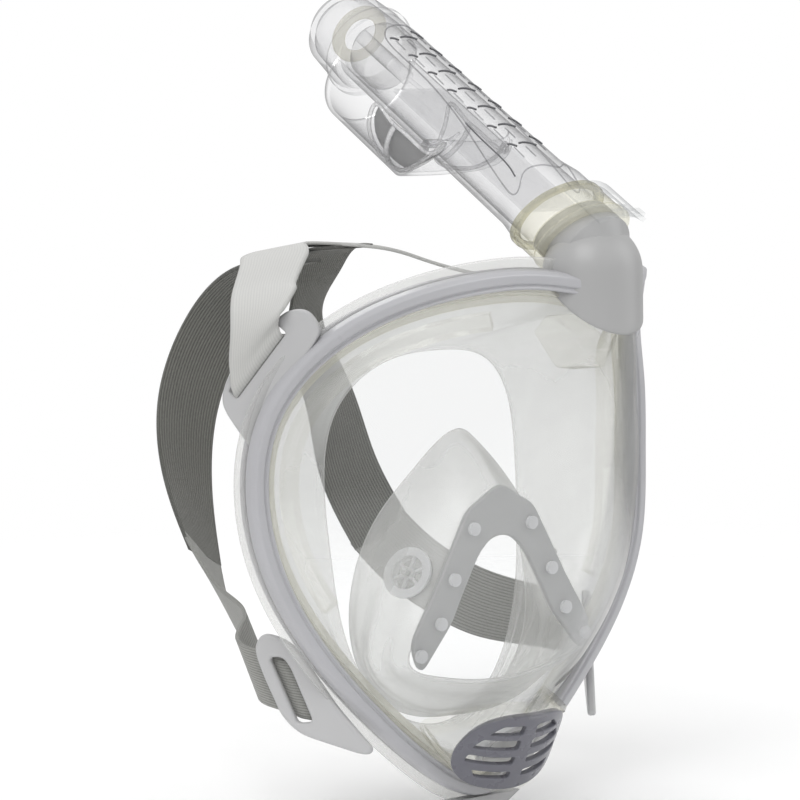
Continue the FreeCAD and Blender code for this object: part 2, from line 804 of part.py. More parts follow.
def build_vent_grille():
    """The slotted cover of the chin vent."""
    radius = dim("vent_curve_radius")
    plate = vent_drum(radius).cut(vent_drum(radius - dim("vent_wall")))
    plate = plate.common(oval_prism(dim("vent_half_width"), dim("vent_half_height"), -radius + 6, 6))
    for row, (height, reach) in enumerate(((8.6, 15), (2.2, 20), (-4.2, 21), (-10.4, 14))):
        for side in (-1, 1):
            slot = Part.makeBox(reach - 3.2, 3.0, 60, Vector(0, 0, -50))
            slot.translate(Vector(3.2 if side > 0 else -reach, height - 1.5, 0))
            plate = plate.cut(slot)
    return feature("vent_grille", plate, VENT_FRAME)


def build_chin_housing(lens):
    """The short oval collar between the lens and the grille."""
    radius = dim("vent_curve_radius")
    wide, tall = dim("vent_half_width"), dim("vent_half_height")
    wall = oval_prism(wide + 2.4, tall + 2.2, -24, 8).cut(oval_prism(wide + 0.15, tall + 0.15, -25, 9))
    wall = wall.common(vent_drum(radius + 0.8))
    wall.Placement = VENT_FRAME
    wall = wall.cut(lens)
    return largest(wall)


def build_vent_clip(lens):
    """The small clear catch that hooks over the top edge of the grille."""
    top = dim("vent_half_height") + 2.4
    clip = Part.makeBox(9, 1.5, 8, Vector(-4.5, top, -6.4))
    clip = clip.fuse(Part.makeBox(9, 5.0, 1.2, Vector(-4.5, top - 3.5, 1.0)))
    clip.Placement = VENT_FRAME
    return largest(clip.cut(lens))


def build_chin_tab():
    """The flat tab under the chin end of the frame."""
    low = -dim("rim_chin") - dim("frame_half_band") - GAP
    outline = [(-19, low), (19, low), (10, low - 5.5), (-10, low - 5.5)]
    wire = Part.makePolygon([Vector(x, -14.5, z) for x, z in outline + outline[:1]])
    return Part.Face(wire).extrude(Vector(0, 5, 0))


# ---------------------------------------------------------------- straps and buckles

BUCKLE_SPLAY = math.radians(52)


def buckle_frame(origin, side):
    """The plane of a strap buckle: it faces forward and to its own side."""
    x_axis = Vector(math.cos(BUCKLE_SPLAY), side * math.sin(BUCKLE_SPLAY), 0)
    normal = Vector(side * math.sin(BUCKLE_SPLAY), -math.cos(BUCKLE_SPLAY), 0)
    return axis_placement(origin, normal, x_axis)


# Outlines and slots in the buckles' planes: x towards the lens, y up.
UPPER_BUCKLE = [
    (4, 22), (10, 23.6), (14.7, 22), (18.5, 16), (18, 13), (7.3, -2.4), (-0.8, -17.3), (-6.9, -31.5),
    (-8.4, -31.5), (-14.5, -23.4), (-20.4, -14.6), (-20.9, -9), (-17.8, -1),
]
UPPER_SLOT = [(5.3, 14.3), (1.9, 17.1), (-18.1, -7.9), (-14.7, -10.7)]
LOWER_BUCKLE = [
    (-21.8, 17), (-19.9, 21), (-16.8, 22.3), (-9.9, 20.2), (-4.9, 16.8), (2.6, 6.2), (11.3, -6.3),
    (20.7, -16.9), (25, -21.5), (24.4, -23.8), (20.7, -24.2), (8.2, -20.7), (-2.4, -17.6),
    (-7.4, -14.4), (-11.8, -9.5), (-14.3, -3.8), (-18, 4.3), (-21.1, 12.4),
]
LOWER_SLOT = [(-16, 13), (-10.4, 13), (-7.4, 8.7), (1.3, -12), (-4.9, -12.8)]
UPPER_ORIGIN = Vector(88.1, -3.3, 57.6)
LOWER_ORIGIN = Vector(69.7, 3.9, -68.6)


def plate_solid(corners, thickness):
    """A flat plate whose back face lies on the local XY plane."""
    wire = Part.makePolygon([Vector(x, y, 0) for x, y in corners + corners[:1]])
    return Part.Face(wire).extrude(Vector(0, 0, thickness))


def build_buckle(label, outline, slot, origin, side, envelopes):
    """A strap buckle with its slot; side is 1 on the wearer's left and -1 on the right."""
    thickness = dim("buckle_thickness")
    corners = [(-side * x, y) for x, y in outline]
    hole = [(-side * x, y) for x, y in slot]
    plate = plate_solid(corners, thickness).cut(plate_solid(hole, 3 * thickness))
    place = Vector(side * origin.x, origin.y, origin.z)
    plate.Placement = buckle_frame(place, side)
    for envelope in envelopes:
        plate = plate.cut(envelope)
    return feature(label, largest(plate))


def strap_solid(stations, width):
    """A ribbon through (centre, direction across) stations, given from the middle to one side."""
    full = [(mirrored(c), mirrored(w)) for c, w in stations[:0:-1]] + stations
    lengths = [0.0]
    for (before, _), (after, _) in zip(full, full[1:]):
        lengths.append(lengths[-1] + (after - before).Length)
    centre_curve = Part.BSplineCurve()
    centre_curve.interpolate(Points=[c for c, _ in full], Parameters=lengths)
    across_curve = Part.BSplineCurve()
    across_curve.interpolate(Points=[w for _, w in full], Parameters=lengths)
    thickness = dim("strap_thickness")
    rows_out, rows_in = [], []
    count = 41            # sections along the webbing
    for i in range(count):
        u = lengths[-1] * i / (count - 1)
        centre = centre_curve.value(u)
        across = across_curve.value(u)
        along = centre_curve.tangent(u)[0]
        across = across - along * across.dot(along)
        across.normalize()
        normal = along.cross(across).normalize()
        row = [centre + across * (width * k / 2.0) for k in (-1, -0.5, 0, 0.5, 1)]
        rows_out.append([p + normal * (thickness / 2) for p in row])
        rows_in.append([p - normal * (thickness / 2) for p in row])
    return grid_solid(rows_out, rows_in)


# Stations of the straps' wearer's-left halves: centre, and the direction of the webbing's width.
LOWER_STRAP = [
    (Vector(0, 117, 93), Vector(0, 0.98, -0.18)),
    (Vector(16, 127, 84), Vector(0.45, 0.85, -0.1)),
    (Vector(27, 136, 61), Vector(0.86, 0.35, 0.25)),
    (Vector(37, 138, 32), Vector(0.93, 0.15, 0.25)),
    (Vector(42, 132, 2), Vector(0.9, -0.1, 0.35)),
    (Vector(47, 112, -30), Vector(0.75, -0.3, 0.55)),
    (Vector(55, 86, -47), Vector(0.5, -0.25, 0.8)),
    (Vector(62, 54, -58), Vector(0.35, 0.0, 0.93)),
    (Vector(72, 24, -66), Vector(0.3, 0.2, 0.93)),
]
UPPER_STRAP = [
    (Vector(0, 113, 98.5), Vector(0, 0.98, -0.18)),
    (Vector(24, 90, 97), Vector(0.5, 0.82, -0.3)),
    (Vector(53, 50, 84), Vector(0.75, 0.6, -0.28)),
    (Vector(77, 26, 72), Vector(0.7, 0.5, -0.5)),
    (Vector(90, 10, 65), Vector(0.5, 0.37, -0.78)),
]

# ---------------------------------------------------------------- assembly

half_band = dim("frame_half_band")
flange = dim("flange_overhang")
frame_envelope = rim_ring([
    (-half_band - 4 * GAP, -7.2), (half_band + 4 * GAP, -7.2),
    (half_band + 4 * GAP, 6.6), (-half_band - 4 * GAP, 6.6),
])
buckle_envelopes = [
    rim_ring([(-12, -9), (half_band + GAP, -9), (half_band + GAP, 6.2), (-12, 6.2)]),
    rim_ring([(0, -9), (flange + GAP, -9), (flange + GAP, -0.95), (0, -0.95)]),
]

feature("front_frame", build_bezel())
feature("rear_frame", build_rear_frame())
skirt = build_skirt()
feature("face_skirt", skirt)
feature("lens_gasket", rim_ring([(-9.6, -0.9), (-7.0, -0.9), (-7.2, -0.15), (-9.6, -0.15)]))

exhaust_hole = placed(Part.makeCylinder(dim("exhaust_radius") + 1.0, 30, Vector(0, 0, -15)), EXHAUST_FRAME)
lens = lens_blank().cut(exhaust_hole)
feature("lens", lens)

build_tube()
build_collar()
build_collar_seal()
build_cap()
build_float()
build_float_guide()
build_tube_divider()
build_float_chamber()
build_latch()
feature("top_pod", build_pod([frame_envelope, lens, skirt]))
feature("duct_box", build_duct_box([lens, skirt]))
feature("side_duct_left", build_side_duct(1))
feature("side_duct_right", build_side_duct(-1))
build_cup_clamp()
feature("clamp_rivets", build_rivets())

valve_radius = dim("valve_radius")
seats = []
for side, name in ((1, "left"), (-1, "right")):
    seat = placed(spoked_seat(valve_radius, -3.2, 1.4, 0.4, 1.4, -1.2, 0.4), valve_frame(side))
    seats.append(seat)
    feature("inhale_seat_" + name, seat, valve_frame(side))
    feature("inhale_disc_" + name, valve_disc(valve_radius, -3.4, 0.7, 2.6, -1), valve_frame(side))
feature("nose_cup", build_nose_cup(seats))

exhaust_radius = dim("exhaust_radius")
feature("exhaust_seat", spoked_seat(exhaust_radius, -5, 1.9, 0.7, 1.9, -1.0, 0.6), EXHAUST_FRAME)
feature("exhaust_disc", valve_disc(exhaust_radius, 2.1, 0.9, -3.4, 1), EXHAUST_FRAME)
build_vent_grille()
feature("chin_housing", build_chin_housing(lens))
feature("vent_clip", build_vent_clip(lens))
feature("chin_tab", build_chin_tab())

for side, name in ((1, "left"), (-1, "right")):
    build_buckle("upper_buckle_" + name, UPPER_BUCKLE, UPPER_SLOT, UPPER_ORIGIN, side, buckle_envelopes)
    build_buckle("lower_buckle_" + name, LOWER_BUCKLE, LOWER_SLOT, LOWER_ORIGIN, side, buckle_envelopes)
feature("lower_strap", strap_solid(LOWER_STRAP, dim("strap_width")))
feature("upper_strap", strap_solid(UPPER_STRAP, dim("strap_width")))

doc.recompute()

for obj in doc.Objects:
    if "Invalid" in obj.State or "Error" in obj.State:
        raise RuntimeError("%s did not recompute" % obj.Label)
for obj in nodes:
    if obj.Shape.isNull() or not obj.Shape.isValid():
        raise RuntimeError("%s has no valid shape" % obj.Label)
for obj in nodes:
    obj.Shape.exportStep("parts/%s.step" % obj.Label)
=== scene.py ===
import math

import bmesh
import bpy
import numpy as np
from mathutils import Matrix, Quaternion, Vector


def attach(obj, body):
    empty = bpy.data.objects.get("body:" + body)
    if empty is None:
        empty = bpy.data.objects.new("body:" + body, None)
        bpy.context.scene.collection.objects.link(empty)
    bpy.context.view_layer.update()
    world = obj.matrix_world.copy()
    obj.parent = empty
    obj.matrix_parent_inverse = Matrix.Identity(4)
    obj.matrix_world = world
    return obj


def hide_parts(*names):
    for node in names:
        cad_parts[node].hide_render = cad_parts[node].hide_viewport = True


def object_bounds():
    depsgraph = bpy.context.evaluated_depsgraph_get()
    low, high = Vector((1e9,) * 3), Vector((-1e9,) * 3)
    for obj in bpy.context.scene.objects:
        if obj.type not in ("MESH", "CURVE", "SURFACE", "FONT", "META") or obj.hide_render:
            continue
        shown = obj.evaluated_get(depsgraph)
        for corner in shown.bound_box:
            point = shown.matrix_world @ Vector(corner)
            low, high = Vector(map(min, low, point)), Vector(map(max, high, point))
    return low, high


# A full-face snorkel mask. Metres; +X is the wearer's left, -Y is where the wearer looks, +Z is up.
# The lens, the valves, the ducts and the inside of the snorkel are the frame's own rigid nodes. The oval
# band, the silicone, the webbing and the moulded plates with rounded edges are built here.

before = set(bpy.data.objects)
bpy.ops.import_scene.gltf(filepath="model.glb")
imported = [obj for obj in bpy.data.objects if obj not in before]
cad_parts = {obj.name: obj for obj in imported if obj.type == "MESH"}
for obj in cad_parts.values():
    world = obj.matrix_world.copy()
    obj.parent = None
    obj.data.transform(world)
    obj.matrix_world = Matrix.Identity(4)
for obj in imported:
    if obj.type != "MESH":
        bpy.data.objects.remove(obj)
cad_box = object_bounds()

MM = 0.001
SIDES = ((1, "left"), (-1, "right"))

# ---------------------------------------------------------------- curves and meshes


def natural_spline(knots, points):
    """A smooth curve through the points; returns a function of the knot value."""
    steps = np.diff(knots)
    size = len(knots)
    system = np.eye(size)
    right = np.zeros_like(points)
    for i in range(1, size - 1):
        system[i, i - 1:i + 2] = steps[i - 1], 2 * (steps[i - 1] + steps[i]), steps[i]
        after = (points[i + 1] - points[i]) / steps[i]
        before = (points[i] - points[i - 1]) / steps[i - 1]
        right[i] = 6 * (after - before)
    bend = np.linalg.solve(system, right)

    def value(places):
        i = np.clip(np.searchsorted(knots, places, side="right") - 1, 0, size - 2)
        span = steps[i][:, None]
        a = (knots[i + 1] - places)[:, None] / span
        b = 1 - a
        curve = (a ** 3 - a) * bend[i] + (b ** 3 - b) * bend[i + 1]
        return a * points[i] + b * points[i + 1] + curve * span ** 2 / 6

    return value


def chord_knots(points):
    """The length along the points up to each one."""
    lengths = np.linalg.norm(np.diff(points, axis=0), axis=1)
    return np.concatenate([[0.0], np.cumsum(lengths)])


def open_curve(points):
    """A smooth curve as a function of the share of its length, from 0 to 1."""
    points = np.array(points, float)
    knots = chord_knots(points)
    value = natural_spline(knots, points)
    return lambda shares: value(np.asarray(shares, float) * knots[-1])


def closed_curve(points):
    """A smooth closed curve as a function of the share of its length."""
    points = np.array(points, float)
    laps = np.vstack([points, points, points, points[:1]])
    knots = chord_knots(laps)
    lap = knots[-1] / 3
    value = natural_spline(knots, laps)
    return lambda shares: value(lap * (1 + np.asarray(shares, float) % 1.0))


def mirrored(points):
    """The points on the other side of the middle plane."""
    return [(-x, y, z) for x, y, z in points]


def whole_loop(half):
    """A closed curve through half of its points, the first and the last on the middle plane."""
    half = [tuple(p) for p in half]
    return closed_curve(half + mirrored(half[-2:0:-1]))


def rounded(corners, radius, steps=4):
    """A closed outline whose corners are replaced by short arcs."""
    made = []
    count = len(corners)
    for i in range(count):
        here = np.array(corners[i], float)
        before = np.array(corners[i - 1], float) - here
        after = np.array(corners[(i + 1) % count], float) - here
        reach_in = min(radius, 0.45 * np.linalg.norm(before))
        reach_out = min(radius, 0.45 * np.linalg.norm(after))
        start = here + before / np.linalg.norm(before) * reach_in
        end = here + after / np.linalg.norm(after) * reach_out
        for k in range(steps + 1):
            t = k / steps
            made.append((1 - t) ** 2 * start + 2 * t * (1 - t) * here + t ** 2 * end)
    return np.array(made)


def mesh_piece(name, vertices, faces, material, uvs=None, face_slots=None):
    """A smooth-shaded mesh object; material may be a list, picked for each face by face_slots."""
    mesh = bpy.data.meshes.new(name)
    mesh.from_pydata([tuple(v) for v in vertices], [], faces)
    materials = material if isinstance(material, list) else [material]
    for item in materials:
        mesh.materials.append(item)
    mesh.polygons.foreach_set("use_smooth", [True] * len(faces))
    if face_slots is not None:
        mesh.polygons.foreach_set("material_index", face_slots)
    if uvs is not None:
        layer = mesh.uv_layers.new(name="Along")
        for loop in mesh.loops:
            layer.data[loop.index].uv = uvs[loop.vertex_index]
    mesh.update()
    piece = bpy.data.objects.new(name, mesh)
    bpy.context.scene.collection.objects.link(piece)
    return piece


def grid_faces(rows, columns, wrap_rows, wrap_columns):
    """Four-sided faces between neighbouring rows and columns."""
    faces = []
    for i in range(rows if wrap_rows else rows - 1):
        for j in range(columns if wrap_columns else columns - 1):
            i2, j2 = (i + 1) % rows, (j + 1) % columns
            faces.append((i * columns + j, i2 * columns + j, i2 * columns + j2, i * columns + j2))
    return faces


def grid_piece(name, grid, material, wrap_rows=False, wrap_columns=False, uvs=None):
    """A mesh from rows of points."""
    rows, columns = grid.shape[:2]
    faces = grid_faces(rows, columns, wrap_rows, wrap_columns)
    return mesh_piece(name, grid.reshape(-1, 3), faces, material, uvs)


def finish_piece(piece, body, slot, *nodes):
    """Fixes a piece to its body and hides the CAD nodes it stands for; slot, the finish, is not used."""
    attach(piece, body)
    if nodes:
        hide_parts(*nodes)
    return piece


# ---------------------------------------------------------------- materials


def new_tree(name):
    """An empty node material and its tree."""
    material = bpy.data.materials.new(name)
    material.use_nodes = True
    material.node_tree.nodes.clear()
    return material, material.node_tree


def add(tree, kind, inputs=None, **settings):
    """A node with its settings and inputs; an input is a value or another node's socket."""
    made = tree.nodes.new(kind)
    for key, value in settings.items():
        setattr(made, key, value)
    for key, value in (inputs or {}).items():
        if isinstance(value, bpy.types.NodeSocket):
            tree.links.new(value, made.inputs[key])
        else:
            made.inputs[key].default_value = value
    return made


def math_node(tree, operation, first, second=0.5, third=0.5, clamp=False):
    """The result of one arithmetic step on values or sockets."""
    return add(tree, "ShaderNodeMath", {0: first, 1: second, 2: third},
               operation=operation, use_clamp=clamp).outputs[0]


def mix_colour(tree, share, first, second):
    """The second colour's share over the first."""
    made = add(tree, "ShaderNodeMix", {0: share, 6: first, 7: second}, data_type="RGBA")
    return made.outputs[2]


def mix_shader(tree, share, first, second):
    """The second shader's share over the first."""
    return add(tree, "ShaderNodeMixShader", {0: share, 1: first, 2: second}).outputs[0]


def output(tree, surface):
    """Makes the shader the material's surface."""
    add(tree, "ShaderNodeOutputMaterial", {"Surface": surface})


def noise(tree, scale, detail=3.0, roughness=0.5):
    """Noise in the object's own coordinates, in features per metre."""
    place = add(tree, "ShaderNodeTexCoord").outputs["Object"]
    made = add(tree, "ShaderNodeTexNoise",
               {"Vector": place, "Scale": scale, "Detail": detail, "Roughness": roughness})
    return made.outputs["Fac"]


def colour(red, green, blue):
    """An opaque colour."""
    return (red, green, blue, 1.0)


def grazing(tree):
    """0 where a surface faces the viewer, 1 where it is seen edge on."""
    return add(tree, "ShaderNodeLayerWeight", {"Blend": 0.5}).outputs["Facing"]


def mirror_share(tree, facing, base=0.04, strength=0.9):
    """How much a clear surface reflects at each angle."""
    power = math_node(tree, "POWER", facing, 5.0)
    return math_node(tree, "MULTIPLY_ADD", power, strength, base, clamp=True)


def clear_plastic(name, tint, edge, edge_power=2.5, haze=0.02, roughness=0.04, waviness=0.02):
    """Polished clear plastic: see-through, darker where it is seen edge on, with sharp reflections."""
    material, tree = new_tree(name)
    height = noise(tree, 55.0, 2.0)
    normal = add(tree, "ShaderNodeBump", {"Height": height, "Strength": waviness, "Distance": 0.004})
    facing = grazing(tree)
    depth = math_node(tree, "POWER", facing, edge_power)
    body = mix_colour(tree, depth, colour(*tint), colour(*edge))
    through = add(tree, "ShaderNodeBsdfTransparent", {"Color": body}).outputs[0]
    cloud = add(tree, "ShaderNodeBsdfDiffuse", {"Color": colour(*tint)}).outputs[0]
    smudges = math_node(tree, "MULTIPLY", noise(tree, 260.0, 5.0, 0.7), 2 * haze)
    inner = mix_shader(tree, smudges, through, cloud)
    gloss = {"Roughness": roughness, "Normal": normal.outputs[0]}
    shine = add(tree, "ShaderNodeBsdfGlossy", gloss).outputs[0]
    output(tree, mix_shader(tree, mirror_share(tree, facing), inner, shine))
    return material


def silicone(name, tint, cover, edge_cover, sheen_roughness=0.25, bump=0.12):
    """Translucent moulded silicone: milky, thicker looking at its edges, with a soft satin sheen."""
    material, tree = new_tree(name)
    grain = noise(tree, 900.0, 4.0, 0.6)
    clouds = noise(tree, 38.0, 3.0)
    normal = add(tree, "ShaderNodeBump", {"Height": grain, "Strength": bump, "Distance": 0.0002}).outputs[0]
    facing = grazing(tree)
    depth = math_node(tree, "POWER", facing, 1.8)
    share = math_node(tree, "MULTIPLY_ADD", depth, edge_cover - cover, cover)
    uneven = math_node(tree, "SUBTRACT", clouds, 0.5)
    share = math_node(tree, "MULTIPLY_ADD", uneven, 0.16, share, clamp=True)
    through = add(tree, "ShaderNodeBsdfTransparent", {"Color": colour(0.97, 0.97, 0.965)}).outputs[0]
    milky = {"Color": colour(*tint), "Normal": normal}
    surface = add(tree, "ShaderNodeBsdfDiffuse", milky).outputs[0]
    glow = add(tree, "ShaderNodeBsdfTranslucent", milky).outputs[0]
    milk = mix_shader(tree, 0.45, surface, glow)
    inner = mix_shader(tree, share, through, milk)
    shine = add(tree, "ShaderNodeBsdfGlossy", {"Roughness": sheen_roughness, "Normal": normal}).outputs[0]
    output(tree, mix_shader(tree, mirror_share(tree, facing, 0.045, 0.45), inner, shine))
    return material


def moulded(name, base, roughness=0.36, edge_radius=0.0006, grain=0.05, coat=0.15, clear_layers=None):
    """Opaque injection-moulded plastic: faint grain, faint colour drift, softened edges. With
    clear_layers it no longer shows through more clear surfaces than that."""
    material, tree = new_tree(name)
    drift = noise(tree, 24.0, 3.0)
    dark, light = colour(*(0.94 * c for c in base)), colour(*(1.05 * c for c in base))
    body = mix_colour(tree, drift, dark, light)
    edges = add(tree, "ShaderNodeBevel", {"Radius": edge_radius}, samples=4).outputs[0]
    height = noise(tree, 2600.0, 3.0, 0.6)
    normal = add(tree, "ShaderNodeBump",
                 {"Height": height, "Strength": grain, "Distance": 0.0001, "Normal": edges}).outputs[0]
    rough = math_node(tree, "MULTIPLY_ADD", noise(tree, 130.0, 4.0), 0.12, roughness - 0.06)
    surface = add(tree, "ShaderNodeBsdfPrincipled", {
        "Base Color": body, "Roughness": rough, "Normal": normal, "Coat Weight": coat,
        "Coat Roughness": 0.22, "Specular IOR Level": 0.45,
    }).outputs[0]
    if clear_layers is not None:
        passed = add(tree, "ShaderNodeLightPath").outputs["Transparent Depth"]
        unseen = math_node(tree, "GREATER_THAN", passed, clear_layers + 0.5)
        surface = mix_shader(tree, unseen, surface, add(tree, "ShaderNodeBsdfTransparent").outputs[0])
    output(tree, surface)
    return material


def webbing(name, valley_shade, ridge, rib_pitch=1.25 * MM, rib_depth=0.5, fleck=0.35):
    """Elastic webbing: ribs along its length, crossed by a fine weave. Its colour runs from the valley colour
    in the weave's hollows, which is painted shade, to the ridge colour on top; loose threads and drift vary
    the tone.
    """
    material, tree = new_tree(name)
    place = add(tree, "ShaderNodeUVMap", uv_map="Along").outputs[0]
    parts = add(tree, "ShaderNodeSeparateXYZ", {0: place}).outputs
    along, across = parts[0], parts[1]
    rib_angle = math_node(tree, "MULTIPLY", across, math.pi / rib_pitch)
    rib = math_node(tree, "ABSOLUTE", math_node(tree, "SINE", rib_angle))
    row = math_node(tree, "FLOOR", math_node(tree, "MULTIPLY", across, 1 / rib_pitch))
    shift = math_node(tree, "MULTIPLY", row, math.pi * 0.5)
    pick_angle = math_node(tree, "MULTIPLY_ADD", along, math.pi / (0.55 * MM), shift)
    pick = math_node(tree, "ABSOLUTE", math_node(tree, "SINE", pick_angle))
    weave = math_node(tree, "MULTIPLY", math_node(tree, "POWER", rib, 0.7),
                      math_node(tree, "MULTIPLY_ADD", pick, 0.45, 0.55))
    stretch = add(tree, "ShaderNodeMapping", {"Vector": place, "Scale": (700.0, 2200.0, 1.0)}).outputs[0]
    threads = add(tree, "ShaderNodeTexNoise",
                  {"Vector": stretch, "Scale": 1.0, "Detail": 3.0, "Roughness": 0.7}).outputs["Fac"]
    loose = math_node(tree, "SUBTRACT", threads, 0.5)
    flecked = math_node(tree, "MULTIPLY_ADD", loose, 2 * fleck, weave, clamp=True)
    drift = math_node(tree, "SUBTRACT", noise(tree, 60.0, 2.0), 0.5)
    share = math_node(tree, "MULTIPLY_ADD", drift, 0.15, flecked, clamp=True)
    # Painted shade: where the weave's height is low the colour goes to the valley colour, darkening the
    # hollows between ribs and picks; the loose threads and drift are the webbing's own tone.
    body = mix_colour(tree, share, colour(*valley_shade), colour(*ridge))
    bump = add(tree, "ShaderNodeBump",
               {"Height": flecked, "Strength": rib_depth, "Distance": 0.00035}).outputs[0]
    surface = add(tree, "ShaderNodeBsdfPrincipled", {
        "Base Color": body, "Roughness": 0.85, "Normal": bump, "Sheen Weight": 0.25, "Sheen Roughness": 0.5,
        "Specular IOR Level": 0.2,
    }).outputs[0]
    output(tree, surface)
    return material


FRAME_GREY = moulded("frame_grey", (0.47, 0.47, 0.49), 0.3, clear_layers=3)
BUCKLE_GREY = moulded("buckle_grey", (0.50, 0.50, 0.505), 0.4, 0.0012)
POD_GREY = moulded("pod_grey", (0.42, 0.42, 0.42), 0.4, 0.0012)
CLAMP_GREY = moulded("clamp_grey", (0.43, 0.43, 0.43), 0.42, 0.0007)
GRILLE_GREY = moulded("grille_grey", (0.15, 0.15, 0.175), 0.28, 0.0004)
SEAL_BLACK = clear_plastic("seal_black", (0.90, 0.89, 0.80), (0.10, 0.10, 0.05), 3.4, 0.08, 0.12)
FLOAT_WHITE = clear_plastic("float_white", (0.975, 0.975, 0.975), (0.62, 0.62, 0.62), 2.0, 0.06, 0.15)
RIVET_CLEAR = silicone("rivet_clear", (0.92, 0.92, 0.93), 0.75, 0.95, 0.12, 0.03)
RIB_CLEAR = clear_plastic("rib_clear", (0.80, 0.80, 0.81), (0.45, 0.45, 0.46), 1.6, 0.05, 0.08)
RIM_CLEAR = clear_plastic("rim_clear", (0.97, 0.97, 0.97), (0.35, 0.35, 0.36), 1.4, 0.25, 0.05)
RIB_DARK = moulded("rib_dark", (0.13, 0.13, 0.14), 0.3, 0.0003)
SCREEN_GREY = moulded("screen_grey", (0.30, 0.30, 0.30), 0.5, 0.0003, clear_layers=3)
DUCT_CLEAR = clear_plastic("duct_clear", (0.992, 0.990, 0.978), (0.86, 0.85, 0.78), 3.6, 0.01, 0.05)
LENS_CLEAR = clear_plastic("lens_clear", (0.975, 0.978, 0.978), (0.62, 0.63, 0.64), 4.0, 0.006, 0.02)
TUBE_CLEAR = clear_plastic("tube_clear", (0.985, 0.985, 0.987), (0.50, 0.50, 0.51), 3.6, 0.012, 0.04, 0.1)
COLLAR_CREAM = clear_plastic("collar_cream", (0.985, 0.978, 0.93), (0.84, 0.82, 0.70), 3.2, 0.12, 0.06)
SILICONE_CLEAR = silicone("silicone_clear", (0.88, 0.88, 0.87), 0.22, 0.75)
# The nose cup gets a darker, milkier copy of the clear silicone; its darker tint is painted shade on the
# cup's dome.
CUP_SILICONE_SHADED = silicone("cup_silicone_shaded", (0.82, 0.82, 0.81), 0.25, 0.85)
SILICONE_CREAM = silicone("silicone_cream", (0.86, 0.84, 0.74), 0.35, 0.8)
# For each webbing the first colour darkens the weave's hollows as painted shade; the second is the colour of
# its ridges.
WEB_LIGHT = webbing("web_light", (0.47, 0.47, 0.46), (0.56, 0.56, 0.54), rib_depth=0.12, fleck=0.3)
WEB_DARK = webbing("web_dark", (0.055, 0.055, 0.05), (0.22, 0.22, 0.2), rib_depth=0.8, fleck=0.45)
WEB_MID = webbing("web_mid", (0.17, 0.17, 0.16), (0.38, 0.38, 0.36), rib_depth=0.4, fleck=0.45)


def dress(material, *nodes):
    """Gives carried-over CAD nodes their material."""
    for name in nodes:
        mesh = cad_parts[name].data
        mesh.materials.clear()
        mesh.materials.append(material)


dress(LENS_CLEAR, "lens")
dress(TUBE_CLEAR, "snorkel_tube", "snorkel_cap", "float_guide", "tube_divider", "vent_clip")
dress(LENS_CLEAR, "snorkel_latch")
dress(COLLAR_CREAM, "snorkel_collar")
dress(DUCT_CLEAR, "side_duct_left", "side_duct_right", "chin_housing")
dress(SEAL_BLACK, "collar_seal")
dress(SILICONE_CREAM, "float_seat")
dress(FLOAT_WHITE, "dry_top_float")
dress(POD_GREY, "top_pod")
dress(RIVET_CLEAR, "clamp_rivets", "inhale_seat_left", "inhale_seat_right", "exhaust_seat")
dress(SILICONE_CLEAR, "inhale_disc_left", "inhale_disc_right", "exhaust_disc")
dress(BUCKLE_GREY, "chin_tab")

# ---------------------------------------------------------------- the oval rim

WIDE = 96 * MM
TOP = 93 * MM
CHIN = 114 * MM
REACH = 96 * MM
RIM_STEPS = 200
BAND_CORNER = 0.7

rim_half = [
    (0, -REACH, 0.94 * TOP), (0.19 * WIDE, -0.89 * REACH, 0.98 * TOP),
    (0.36 * WIDE, -0.70 * REACH, 0.98 * TOP), (0.58 * WIDE, -0.44 * REACH, 0.90 * TOP),
    (0.80 * WIDE, -0.17 * REACH, 0.71 * TOP), (0.96 * WIDE, -2 * MM, 0.43 * TOP),
    (WIDE, 2 * MM, 0.13 * TOP), (0.95 * WIDE, -1 * MM, -0.18 * CHIN),
    (0.77 * WIDE, -5 * MM, -0.46 * CHIN), (0.52 * WIDE, -7 * MM, -0.70 * CHIN),
    (0.27 * WIDE, -9 * MM, -0.89 * CHIN), (0, -10 * MM, -CHIN),
]
RIM = whole_loop(rim_half)
RIM_SHARES = np.arange(RIM_STEPS) / RIM_STEPS


def unit_rows(rows):
    """The rows at unit length."""
    return rows / np.linalg.norm(rows, axis=1)[:, None]


def rim_frames(shares):
    """Places on the rim with their outward and forward directions."""
    place = RIM(shares)
    along = unit_rows(RIM(shares + 0.0005) - RIM(shares - 0.0005))
    radial = place * np.array([1.0, 0.0, 1.0])
    outward = unit_rows(radial - along * np.sum(radial * along, axis=1)[:, None])
    forward = np.cross(along, outward)
    forward *= np.where(forward[:, 1] > 0, -1.0, 1.0)[:, None]
    return place, outward, forward


RIM_PLACE, RIM_OUTWARD, RIM_FORWARD = rim_frames(RIM_SHARES)


def rim_loop(out_by, forward_by):
    """The rim's middle line moved outwards and forwards."""
    return RIM_PLACE + RIM_OUTWARD * out_by + RIM_FORWARD * forward_by


def rim_ring(name, section, material):
    """A closed ring that carries a section, in (outward, forward), round the rim."""
    grid = np.stack([rim_loop(out_by, forward_by) for out_by, forward_by in section], axis=1)
    return grid_piece(name, grid, material, True, True)


front_section = rounded([
    (-3.5, -1.0), (3.3, -1.0), (3.5, 3.4), (2.5, 5.7), (-0.8, 6.1), (-1.3, 5.2), (-2.0, 5.2), (-2.4, 5.9),
    (-3.3, 5.7), (-3.6, 3.0),
], BAND_CORNER) * MM
band = rim_ring("frame_band", front_section, FRAME_GREY)
finish_piece(band, "mask", "frame_grey", "front_frame")

rear_section = rounded([(-3.5, -6.2), (2.5, -6.2), (2.5, -3.4), (-3.5, -3.4)], 0.8) * MM
rear_band = rim_ring("rear_band", rear_section, FRAME_GREY)
finish_piece(rear_band, "mask", "frame_grey", "rear_frame")

